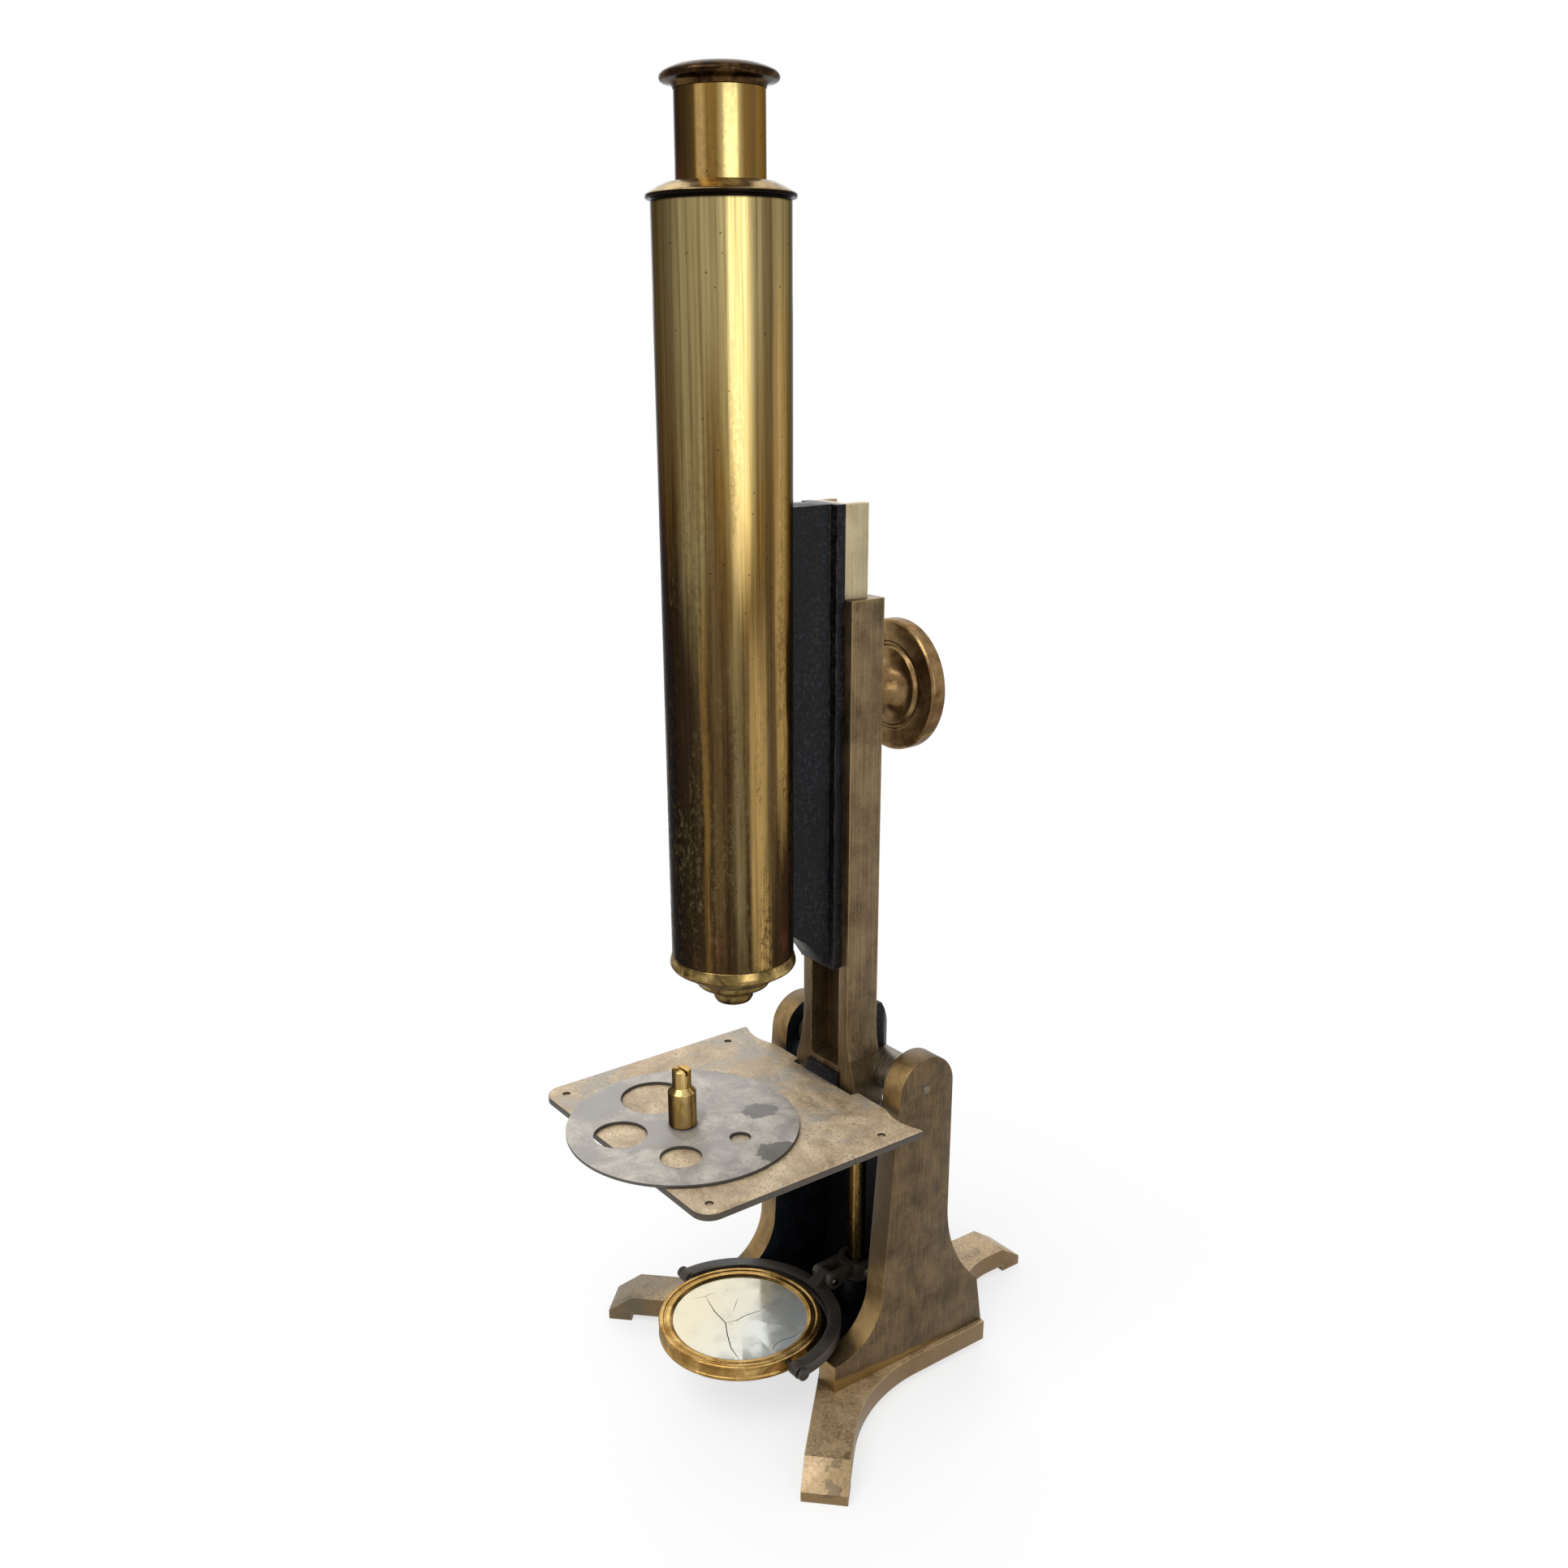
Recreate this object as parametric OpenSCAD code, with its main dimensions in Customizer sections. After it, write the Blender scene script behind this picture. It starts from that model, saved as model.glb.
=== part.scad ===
// Brass compound microscope on a tripod foot, with a tilting limb, a rack focus,
// a sliding eyepiece, a wheel of apertures on the stage and a mirror on a tail rod.
// Sizes are in millimetres. The limb leans back on the trunnion axis, along X.
// Heights are measured from the table and depths from the optical axis, backward positive.

/* [Foot] */
// Thickness of the flat foot plate
foot_t = 7.5; // [5:0.5:10]
// Height of the pads under the toes
pad_h = 2.6; // [1.6:0.1:4]
// Length of each pad, from the tip of its toe
pad_l = 8.6; // [5:0.1:12]
// Width of the two front toes
toe_w = 15; // [12:0.5:18]
// Distance of the front toe tips from the middle plane
toe_tip_x = 63.6; // [60:0.2:70]
// Distance of the front toe tips in front of the optical axis
toe_tip_front = 12.8; // [10:0.2:16]
// Width of the rear toe
rear_toe_w = 16; // [12:0.5:20]
// Reach of the rear toe behind the optical axis
rear_toe_reach = 128.9; // [110:0.1:150]
// Length of the slope at the end of each toe
toe_slope_l = 9.1; // [6:0.1:12]
// Height of the top edge of each toe's end face
toe_tip_h = 3.7; // [3:0.1:6]
// Width of the foot where the pillars stand
foot_w = 72.4; // [70:0.2:80]
// Radius of the scoop between the front toes
front_scoop_r = 28.3; // [20:0.1:30]
// Radius of the hollow on each side, behind a front toe
side_scoop_r = 60; // [40:1:80]
// Radius of the hollow on each side of the rear toe
rear_scoop_r = 30; // [25:1:36]

/* [Pillars] */
// Thickness of each pillar
pillar_t = 8.5; // [6:0.1:10]
// Free width between the pillars
pillar_gap = 52; // [50:0.2:54]
// Height of the trunnion axis above the table
axis_h = 112; // [108:0.5:125]
// Distance of the trunnion axis behind the optical axis
axis_back = 52.3; // [51:0.1:54]
// Radius of the round top of each pillar
pillar_top_r = 11.5; // [10:0.1:13]
// Place of the pillar's front end behind the optical axis
pillar_front = 14.7; // [14:0.1:18]
// Height of the pillar's front end above the foot
pillar_toe_h = 10; // [7:0.5:11]
// Radius of the scoop in the pillar's front edge
pillar_scoop_r = 20.5; // [18:0.5:22]
// Place of the pillar's rear foot behind the optical axis
pillar_rear = 82.3; // [80:0.1:84]
// Height of the upper end of the flare at the pillar's rear
flare_top = 64; // [58:0.5:70]
// Height of the lower end of the flare
flare_low = 29; // [24:0.5:34]
// Radius of the flare
flare_r = 47.3; // [44:0.1:54]
// Thickness of the plate between the pillars
web_t = 4.4; // [3:0.1:5]
// Height of the plate between the pillars
web_h = 79.5; // [60:0.5:80]

/* [Limb] */
// Width of the limb
limb_w = 23; // [22:0.2:25]
// Depth of the limb from front to back
limb_d = 12.7; // [12:0.1:14]
// Front face of the limb behind the optical axis
limb_front = 37.1; // [36.5:0.1:38]
// Height of the limb's top
limb_top = 269.5; // [260:0.5:290]
// Distance of the limb's underside below the trunnion axis
limb_below = 12; // [10:0.5:14]
// Width of the limb's flared foot
limb_foot_w = 30.8; // [28:0.2:33]
// Distance above the trunnion axis at which the limb starts to flare
limb_flare_above = 18; // [14:0.5:24]
// Distance below the trunnion axis at which the limb has its full foot width
limb_flare_below = 1; // [0:0.1:3]
// Distance of the dovetail groove's lower end above the trunnion axis
groove_above = 2; // [1:0.1:4]
// Clearance between the slide and its groove
slide_gap = 0.15; // [0.1:0.05:0.3]
// Back of the black block behind the trunnion axis
block_back = 8; // [7.8:0.1:9]
// Distance of the black block's top above the trunnion axis
block_above = 23; // [22:0.5:26]
// Radius of the trunnion axle
axle_r = 6.8; // [6:0.1:7.2]
// Gap between the axle's ends and the pillars
side_gap = 0.3; // [0.2:0.05:0.5]
// Radius of the pivot pins inside the axle
pivot_r = 3.2; // [2.6:0.1:3.6]
// Radius of the pin ends that show in the pillars
pin_end_r = 1.5; // [1.2:0.1:2.2]
// Running clearance of all turning and sliding shafts
run_gap = 0.05; // [0.03:0.01:0.08]
// Clearance between fixed pieces that are fitted together
fit_gap = 0.05; // [0.02:0.01:0.1]

/* [Focus] */
// Distance of the slide's lower end below the body tube's
slide_below = 12.5; // [8:0.5:14]
// Length of the slide
slide_l = 147; // [135:0.5:160]
// Width of the slide's narrow front
slide_w = 13.8; // [13:0.1:15]
// Width of the slide's back
slide_back_w = 17.2; // [16:0.1:17.6]
// Depth of the slide from front to back
slide_d = 8.7; // [8.4:0.1:9]
// Depth of the straight land along the slide's back
slide_land = 1.2; // [0.8:0.1:2]
// Thickness of the slide's front wall, in front of the rack
slide_wall = 2.6; // [2:0.1:3]
// Distance of the knob's axis below the limb's top
knob_below = 30.5; // [24:0.5:36]
// Radius of the knob
knob_r = 20.9; // [18:0.1:24]
// Thickness of the knob's rim
knob_rim_t = 5.7; // [4:0.1:8]
// Front face of the knob's rim behind the optical axis
knob_front = 62.2; // [60:0.1:66]
// Radius of the groove on the knob's front face
knob_groove_r = 13.6; // [12.8:0.1:15]
// Radius of the pinion shaft
shaft_r = 2.4; // [2:0.1:2.5]
// Module of the rack and pinion
gear_module = 0.8; // [0.8:0.05:0.85]
// Number of teeth on the pinion
pinion_teeth = 10; // [10:1:10]
// Slack between the teeth of rack and pinion
tooth_slack = 0.3; // [0.25:0.05:0.4]
// Width of the black bracket's web
web_w = 11; // [9:0.5:12]
// Width of the black bracket's flange
flange_w = 17; // [15:0.5:18]
// Thickness of the black bracket's flange
flange_t = 3.3; // [2.6:0.1:4]

/* [Body tube] */
// Outer radius of the body tube
tube_r = 19; // [17:0.1:20]
// Wall of the body tube
tube_wall = 1.3; // [1:0.1:1.8]
// Height of the body tube's lower end
tube_foot = 163; // [160:0.5:166]
// Height of the body tube's upper end
tube_top = 377.6; // [360:0.5:400]
// How far the top ring stands out from the tube
ring_lip = 1.3; // [0.8:0.1:1.6]
// Thickness of the top ring, up to its flat top
ring_t = 3.2; // [2.8:0.1:3.6]
// How far the nose cone's lip stands out from the tube
nose_lip = 0.7; // [0.5:0.1:1.2]
// Length of the bush that guides the eyepiece
bush_l = 50; // [40:1:60]
// Length of the nose cone below the tube
nose_l = 8; // [7:0.1:10]
// Radius of the nose cone's lower end
nose_r = 13.6; // [12.6:0.1:15]
// Radius of the ring that carries the objective
nose_ring_r = 11.7; // [10:0.1:12.4]
// Thickness of the ring that carries the objective
nose_ring_t = 3; // [2:0.1:4]
// Radius of the objective's tip
tip_r = 6.2; // [5.4:0.1:7]
// Length of the objective below its ring
objective_l = 5.6; // [5.2:0.1:7]
// Radius of the front lens
front_lens_r = 3.4; // [2.4:0.1:4]

/* [Eyepiece] */
// Outer radius of the eyepiece tube
eye_r = 12.15; // [11.4:0.05:12.6]
// Wall of the eyepiece tube
eye_wall = 0.9; // [0.7:0.1:1.2]
// Length of the eyepiece tube
eye_l = 65; // [60:1:70]
// Height of the eyepiece above the body tube
eye_out = 32.1; // [26:0.1:40]
// Radius of the eyepiece's flange
eye_flange_r = 15.8; // [14:0.1:18]
// Height of the flange from its neck to its top
eye_flange_h = 5.8; // [5.6:0.1:7]
// Radius of the hole to look through
eye_hole_r = 4.2; // [3:0.1:5]

/* [Stage] */
// Width of the stage plate
stage_w = 96; // [90:1:100]
// Front edge of the stage in front of the optical axis
stage_front = 45; // [42:0.5:50]
// Rear edge of the stage behind the optical axis
stage_rear = 38.5; // [38:0.1:38.7]
// Distance of the stage's top face below the trunnion axis
stage_below = 4.5; // [3.5:0.1:5.5]
// Thickness of the stage plate
stage_t = 2.3; // [1.8:0.1:3]
// Radius of the stage's front corners
stage_corner_r = 6; // [2:0.5:8]
// Radius of the light hole in the stage
light_r = 12; // [11:0.1:12.4]
// Radius of the scoops in the stage's rear edge
stage_scoop_r = 18; // [14:1:24]
// Depth of the scoops in the stage's rear edge
stage_scoop_d = 1.9; // [1:0.1:2.5]
// Distance of the stage's dimples from its side and front edges
dimple_inset = 6; // [5:0.5:8]
// Radius of the aperture disc
disc_r = 37; // [35:0.1:40]
// Thickness of the aperture disc
disc_t = 1.1; // [0.8:0.1:1.6]
// Gap under the aperture disc
disc_gap = 0.1; // [0.05:0.05:0.2]
// Distance of the disc's pivot in front of the optical axis
disc_pivot = 20.4; // [19:0.1:21]
// Radius of the disc post
post_r = 4.5; // [4:0.1:5]
// Height of the disc post above the stage
post_h = 20.5; // [16:0.5:20.5]
// Radius of the neck on top of the disc post
post_neck_r = 3; // [2.5:0.1:3.6]

/* [Mirror] */
// Radius of the tail rod
rod_r = 3.1; // [2.6:0.1:3.4]
// Height of the tail rod's lower end
rod_foot = 15; // [14:0.5:16]
// Outer radius of the black sleeve on the tail rod
sleeve_r = 4.5; // [4:0.1:5]
// Height of the sleeve's lower end
sleeve_foot = 13.5; // [12:0.5:13.5]
// Length of the sleeve
sleeve_l = 17; // [16:0.5:20]
// Distance of the fork's hinge behind the optical axis
hinge_back = 38.8; // [38.6:0.1:39.4]
// Height of the fork's hinge
hinge_h = 27.2; // [26.8:0.1:27.6]
// Radius of the hinge's round ends
hinge_r = 3; // [2.6:0.1:3.1]
// Thickness of each cheek of the mirror's arm
cheek_t = 2.4; // [2:0.1:3]
// Thickness of the fork's tongue between the cheeks
tongue_t = 4.2; // [3.6:0.1:5]
// Height of the mirror's centre
mirror_h = 25; // [24.8:0.1:25.6]
// Place of the mirror's centre behind the optical axis
mirror_back = 0.6; // [0:0.1:1]
// Outer radius of the mirror's frame
mirror_r = 28; // [26:0.1:28.4]
// Height of the mirror's frame
mirror_t = 5.8; // [4.8:0.1:6]
// Height of the frame's top above the axis on which it tilts
mirror_up = 2.4; // [2.2:0.1:2.6]
// Radius of the part of the glass that shows
glass_r = 23; // [21:0.1:24]
// Thickness of the mirror glass
glass_t = 1.8; // [1.2:0.1:2]
// Outer radius of the fork
fork_r = 34.8; // [34:0.1:35]
// Thickness of the fork, inward from its outer radius
fork_w = 4.6; // [4:0.1:5]
// Height of the fork's bar
fork_h = 3.8; // [3:0.1:4]

/* [Hidden] */

$fn = 96;
BRASS = [0.66, 0.52, 0.27];
BRIGHT = [0.8, 0.63, 0.3];
AGED = [0.5, 0.43, 0.3];
BLACK = [0.07, 0.07, 0.08];
STEEL = [0.55, 0.56, 0.57];
GLASS = [0.8, 0.88, 0.9];

// Small amount by which a cut runs past the face it opens
CUT = 1;

// Head of a countersunk screw, as shares of its shank's radius: its own radius, depth and rim
HEAD_WIDE = 1.75;
HEAD_DEEP = 1.1;
HEAD_RIM = 0.2;

// The origin is under the middle of the whole object, so the optical axis lies in front of it
foot_top = pad_h + foot_t;
optical_y = -(rear_toe_reach - disc_pivot - disc_r) / 2;

// The front toes run out at 45 degrees, so each of their edges keeps x + y constant
toe_sum = toe_tip_x - toe_tip_front;
toe_half_sum = toe_w / sqrt(2);
side_scoop_x = foot_w / 2 + side_scoop_r;
side_scoop_y = toe_sum + toe_half_sum + side_scoop_r * sqrt(2) - side_scoop_x;
front_scoop_y = toe_sum - toe_half_sum - front_scoop_r * sqrt(2);
rear_scoop_x = rear_toe_w / 2 + rear_scoop_r;
rear_scoop_y = pillar_rear + sqrt(pow(rear_scoop_r, 2) - pow(foot_w / 2 - rear_scoop_x, 2));

limb_foot = axis_h - limb_below;
limb_flare_top = axis_h + limb_flare_above;
limb_flare_low = axis_h - limb_flare_below;
groove_foot = axis_h + groove_above;
block_top = axis_h + block_above;
stage_h = axis_h - stage_below;
slide_foot = tube_foot - slide_below;
slide_top = slide_foot + slide_l;
knob_h = limb_top - knob_below;
eye_top = tube_top + eye_out;

scoop_z = foot_top + pillar_toe_h + pillar_scoop_r;
pillar_x = pillar_gap / 2 + pillar_t / 2;
web_back = axis_back + pillar_top_r;
flare_y = axis_back + pillar_top_r + flare_r;

limb_back = limb_front + limb_d;
limb_flare_drop = limb_flare_top - limb_flare_low;
limb_flare_out = (limb_foot_w - limb_w) / 2;
limb_flare_r = (pow(limb_flare_drop, 2) + pow(limb_flare_out, 2)) / (2 * limb_flare_out);
axle_half = pillar_gap / 2 - side_gap;
block_rear = axis_back + block_back;

slide_front = limb_front - 2 * slide_gap;
slide_back = slide_front + slide_d;
channel_front = slide_front + slide_wall;
pitch_r = gear_module * pinion_teeth / 2;
tooth_out = 0.75 * gear_module;
tooth_in = gear_module;
pinion_l = slide_back - channel_front - 1.2;
pinion_start = channel_front + 0.6;
bush_r = pitch_r + tooth_out + 0.7;
bush_head_r = bush_r + 1.1;
bush_head_t = 1.8;
bore_r = shaft_r + run_gap;
hub_front = limb_back + bush_head_t + side_gap;
focus_down = 28;
focus_up = 40;
rack_low = knob_h - focus_up - 6;
rack_high = knob_h + focus_down + 6;
rack_back_x = 6.3;

tube_bore = tube_r - tube_wall;
ring_r = tube_r + ring_lip;
nose_lip_r = tube_r + nose_lip;
guide_r = eye_r + run_gap;
draw_bush_r = guide_r + 1.6;
nose_foot = tube_foot - nose_l;
nose_ring_foot = nose_foot - nose_ring_t;
objective_thread_r = 8.5;

eye_bore = eye_r - eye_wall;
eye_neck = eye_top - eye_flange_h;

stage_foot = stage_h - stage_t;
disc_foot = stage_h + disc_gap;
disc_top = disc_foot + disc_t;
post_shank_r = 2.6;
post_foot_gap = disc_top + disc_gap;

// Each hole of the disc: its radius and its direction from the pivot, in degrees
DISC_HOLES = [[11, 174], [8.5, 253], [6.5, 325], [3.4, 28]];

arm_top = sleeve_foot + sleeve_l;
collar_l = 6.4;
collar_r = sleeve_r + 2.2;
mirror_foot = mirror_h + mirror_up - mirror_t;
fork_in_r = fork_r - fork_w;
fork_pin_r = 1.5;

// Countersunk screw of shank radius r that points up, its head's flat face at z = 0
module screw(r, l) {
    rim = HEAD_RIM * r;
    rotate_extrude() polygon([
        [0, 0], [HEAD_WIDE * r, 0], [HEAD_WIDE * r, rim], [r, HEAD_DEEP * r], [r, l], [0, l]
    ]);
}

// Room for that screw, with the fit clearance all round and an open mouth
module screw_hole(r, l) {
    head_r = HEAD_WIDE * r + fit_gap;
    rim = HEAD_RIM * r + fit_gap;
    translate([0, 0, -CUT]) cylinder(r = head_r, h = CUT + rim);
    rotate_extrude() polygon([
        [0, 0], [head_r, 0], [head_r, rim], [r + fit_gap, HEAD_DEEP * r + fit_gap],
        [r + fit_gap, l + fit_gap], [0, l + fit_gap]
    ]);
}

// Everything is drawn around the optical axis and then moved to the origin's place
module on_axis() {
    translate([0, optical_y, 0]) children();
}

// Turned piece around an axis that runs backward, from [radius, depth] points
module turned_back(points) {
    rotate([-90, 0, 0]) rotate_extrude() polygon(points);
}

// Lays a side outline, drawn as depth and height, across the middle plane
module across(t) {
    rotate([90, 0, 90]) translate([0, 0, -t / 2]) linear_extrude(t) children();
}

// Flat foot

// Points along an arc, from one angle to another
function arc(centre, r, from, to, steps = 20) =
    [for (i = [0:steps]) let (a = from + (to - from) * i / steps) centre + r * [cos(a), sin(a)]];

module foot_outline() {
    tip = [toe_tip_x, -toe_tip_front];
    side = [toe_w / 2, toe_w / 2] / sqrt(2);
    rear_scoop = [rear_scoop_x, rear_scoop_y];
    corner = [foot_w / 2, pillar_rear];
    rear_start = 360 + atan2(corner[1] - rear_scoop_y, corner[0] - rear_scoop_x);
    half = concat(
        arc([0, front_scoop_y], front_scoop_r, 88, 45), [tip - side, tip + side],
        arc([side_scoop_x, side_scoop_y], side_scoop_r, 225, 180), [corner],
        arc(rear_scoop, rear_scoop_r, rear_start - 1, 180), [[rear_toe_w / 2, rear_toe_reach]]
    );
    other = [for (i = [len(half) - 1:-1:0]) [-half[i][0], half[i][1]]];
    polygon(concat(half, other));
}

// Places a piece at each toe's tip, with +X pointing out along the toe
module at_toes() {
    translate([toe_tip_x, -toe_tip_front, 0]) rotate(-45) children();
    translate([-toe_tip_x, -toe_tip_front, 0]) rotate(-135) children();
    translate([0, rear_toe_reach, 0]) rotate(90) children();
}

module foot_slope() {
    rise = foot_top - toe_tip_h;
    rotate([90, 0, 0]) translate([0, 0, -rear_toe_w]) linear_extrude(2 * rear_toe_w)
        polygon([[-toe_slope_l, foot_top], [0, toe_tip_h], [CUT, toe_tip_h],
                 [CUT, foot_top + rise], [-toe_slope_l, foot_top + rise]]);
}

// Places of the screws that come up through the foot: two in each pillar, two in the plate
module at_foot_screws() {
    for (s = [-1, 1], y = [pillar_front + 11, pillar_rear - 13])
        translate([s * pillar_x, y, pad_h]) children();
    for (s = [-1, 1]) translate([s * pillar_gap / 3.4, web_back - web_t / 2, pad_h]) children();
}

foot_screw_r = 1.5;
foot_screw_l = 17;

module foot_screw() {
    screw(foot_screw_r, foot_screw_l);
}

module foot_screw_hole() {
    screw_hole(foot_screw_r, foot_screw_l);
}

module tripod_base() {
    on_axis() color(AGED) difference() {
        union() {
            translate([0, 0, pad_h]) linear_extrude(foot_t) foot_outline();
            intersection() {
                linear_extrude(foot_top - toe_slope_l / 2) foot_outline();
                at_toes() translate([-pad_l, -rear_toe_w, 0]) cube([pad_l + CUT, 2 * rear_toe_w, foot_top]);
            }
        }
        at_toes() foot_slope();
        at_foot_screws() foot_screw_hole();
    }
}

module foot_screws() {
    on_axis() color(BRASS) at_foot_screws() foot_screw();
}

// Pillars

// Direction, seen from a circle's centre, of the point where a line from p touches the circle
function touch_angle(p, c, r) = 360 + atan2(p[1] - c[1], p[0] - c[0]) - acos(r / norm(p - c));

module pillar_outline() {
    top = [axis_back, axis_h];
    scoop_end = [pillar_front + pillar_scoop_r, scoop_z];
    touch = touch_angle(scoop_end, top, pillar_top_r);
    flare_end = 180 + asin((flare_top - flare_low) / flare_r);
    polygon(concat(
        [[pillar_front, foot_top]], arc([pillar_front, scoop_z], pillar_scoop_r, -90, 0),
        arc(top, pillar_top_r, touch, 0, 32), arc([flare_y, flare_top], flare_r, 180, flare_end),
        [[pillar_rear, foot_top]]
    ));
}

module pillar() {
    difference() {
        across(pillar_t) pillar_outline();
        translate([-pillar_t, axis_back, axis_h]) rotate([0, 90, 0])
            cylinder(r = pin_end_r + fit_gap, h = 2 * pillar_t);
    }
}

module near_upright() {
    on_axis() color(AGED) difference() {
        translate([pillar_x, 0, 0]) pillar();
        at_foot_screws() foot_screw_hole();
    }
}

module far_upright() {
    on_axis() color(AGED) difference() {
        translate([-pillar_x, 0, 0]) pillar();
        at_foot_screws() foot_screw_hole();
    }
}

module cross_plate() {
    on_axis() color(BLACK) difference() {
        translate([-pillar_gap / 2, web_back - web_t, foot_top]) cube([pillar_gap, web_t, web_h]);
        at_foot_screws() foot_screw_hole();
    }
}

// Each pin has a thick journal in the axle and a thin end through the pillar
pivot_l = 8;

module trunnion_pins() {
    on_axis() color(STEEL) for (s = [-1, 1]) {
        translate([s * pillar_gap / 2, axis_back, axis_h]) rotate([0, s * 90, 0])
            rotate_extrude() polygon([
                [0, -pivot_l], [pivot_r - 0.4, -pivot_l], [pivot_r, 0.4 - pivot_l], [pivot_r, 0],
                [pin_end_r, 0], [pin_end_r, pillar_t], [pin_end_r - 0.4, pillar_t + 0.3],
                [0, pillar_t + 0.4]
            ]);
    }
}

// Limb

module limb_outline() {
    flare_x = limb_w / 2 + limb_flare_r;
    flare_end = 180 + asin(limb_flare_drop / limb_flare_r);
    half = concat(
        [[limb_w / 2, limb_top]], arc([flare_x, limb_flare_top], limb_flare_r, 180, flare_end),
        [[limb_foot_w / 2, limb_foot]]
    );
    other = [for (i = [len(half) - 1:-1:0]) [-half[i][0], half[i][1]]];
    polygon(concat(half, other));
}

// Plan of the slide, grown by a clearance on every side
module slide_plan(gap) {
    front = slide_w / 2 + gap;
    back = slide_back_w / 2 + gap;
    land = slide_back - slide_land;
    polygon([
        [-front, slide_front - 3 * gap], [front, slide_front - 3 * gap], [back, land - gap],
        [back, slide_back + gap], [-back, slide_back + gap], [-back, land - gap]
    ]);
}

module axle_bore() {
    translate([-limb_foot_w, axis_back, axis_h]) rotate([0, 90, 0])
        cylinder(r = axle_r + fit_gap, h = 2 * limb_foot_w);
}

// Two screws come through the black block into the limb, above and below the axle
limb_screw_r = 1.3;
limb_screw_l = 11.5;
limb_screw_side = 7.5;
limb_screw_back = [5.2, 4.4];
limb_screw_z = [axis_h + axle_r + 4.4, limb_foot + 2.6];

module at_limb_screws() {
    translate([0, axis_back + limb_screw_back[0], limb_screw_z[0]]) rotate([90, 0, 0]) children();
    for (s = [-1, 1]) translate([s * limb_screw_side, axis_back + limb_screw_back[1], limb_screw_z[1]])
        rotate([90, 0, 0]) children();
}

module limb_screw() {
    screw(limb_screw_r, limb_screw_l);
}

module limb_screw_hole() {
    screw_hole(limb_screw_r, limb_screw_l);
}

// Two screws come through the bracket's tongue into the limb's foot
bracket_pin_r = 1.2;
bracket_pin_l = 9;
bracket_pin_side = 5.5;
bracket_pin_drop = 3.4;

module at_bracket_pins() {
    for (s = [-1, 1]) translate([s * bracket_pin_side, bracket_face, stage_foot - bracket_pin_drop])
        rotate([-90, 0, 0]) children();
}

module bracket_pin_hole() {
    screw_hole(bracket_pin_r, bracket_pin_l);
}

module limb() {
    on_axis() color(AGED) difference() {
        translate([0, limb_back, 0]) rotate([90, 0, 0]) linear_extrude(limb_d) limb_outline();
        translate([0, 0, groove_foot]) linear_extrude(limb_top) slide_plan(slide_gap);
        axle_bore();
        translate([0, limb_front, knob_h]) rotate([-90, 0, 0])
            cylinder(r = bush_r + fit_gap, h = 2 * limb_d);
        at_limb_screws() limb_screw_hole();
        at_bracket_pins() bracket_pin_hole();
    }
}

// Rounded block behind the limb's foot, which holds the axle against the limb
block_round = 7;
rod_step = 0.7;
rod_spigot_l = 4;

module trunnion_block() {
    half = limb_w / 2;
    side_back = block_back - block_round;
    round_r = (pow(half, 2) + pow(block_back - side_back, 2)) / (2 * (block_back - side_back));
    on_axis() color(BLACK) difference() {
        intersection() {
            across(2 * half) polygon([
                [limb_back, limb_foot], [block_rear, limb_foot], [block_rear, axis_h + block_above * 0.23],
                [block_rear - 4, axis_h + block_above * 0.65], [limb_back + 2.2, block_top],
                [limb_back, block_top]
            ]);
            translate([0, block_rear - round_r, limb_foot]) cylinder(r = round_r, h = block_top - limb_foot);
        }
        axle_bore();
        at_limb_screws() limb_screw_hole();
        translate([0, axis_back, limb_foot - CUT])
            cylinder(r = rod_r - rod_step + fit_gap, h = CUT + rod_spigot_l + 0.2);
    }
}

module trunnion_axle() {
    on_axis() color(STEEL) translate([0, axis_back, axis_h]) rotate([0, 90, 0]) difference() {
        union() {
            for (s = [-1, 1]) translate([0, 0, s * (axle_half - 0.4) - 0.4])
                cylinder(r = axle_r - 0.3, h = 0.8);
            translate([0, 0, 0.4 - axle_half]) cylinder(r = axle_r, h = 2 * axle_half - 0.8);
        }
        for (s = [-1, 1]) rotate([0, 90 - s * 90, 0]) translate([0, 0, pillar_gap / 2 - pivot_l - 0.5])
            cylinder(r = pivot_r + run_gap, h = 2 * pivot_l);
    }
}

module limb_screws() {
    on_axis() color(STEEL) at_limb_screws() limb_screw();
}

module pinion_bush() {
    start = slide_back + 2 * slide_gap;
    on_axis() color(BRASS) translate([0, start, knob_h]) turned_back([
        [bore_r, 0], [bush_r, 0], [bush_r, limb_back - start], [bush_head_r, limb_back - start],
        [bush_head_r, limb_back - start + bush_head_t - 0.4],
        [bush_head_r - 0.4, limb_back - start + bush_head_t], [bore_r, limb_back - start + bush_head_t]
    ]);
}

// Stage and its bracket

bracket_face = limb_front - 5.6;
bracket_w = 26;
bracket_t = 6.6;

// Black angle: a tongue on the limb's front and an arm under the stage
module stage_bracket() {
    arm_front = light_r + 3;
    on_axis() color(BLACK) difference() {
        union() {
            translate([-bracket_w / 2, arm_front, stage_foot - bracket_t])
                cube([bracket_w, limb_front - arm_front, bracket_t]);
            translate([-slide_w / 2 - 1, stage_rear_mid, stage_foot - CUT])
                cube([slide_w + 2, limb_front - stage_rear_mid, groove_foot - CUT - stage_foot]);
        }
        translate([0, 0, stage_foot - bracket_t - CUT]) cylinder(r = light_r + 4, h = bracket_t + 2 * CUT);
        at_bracket_pins() bracket_pin_hole();
        translate([-bracket_w / 2 - CUT, bracket_face - 6.5, stage_foot - bracket_t - CUT])
            cube([bracket_w + 2 * CUT, 6.5, 0.6 * bracket_t]);
        at_stage_screws() stage_screw_hole();
    }
}

module bracket_pins() {
    on_axis() color(STEEL) at_bracket_pins() screw(bracket_pin_r, bracket_pin_l);
}

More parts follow.
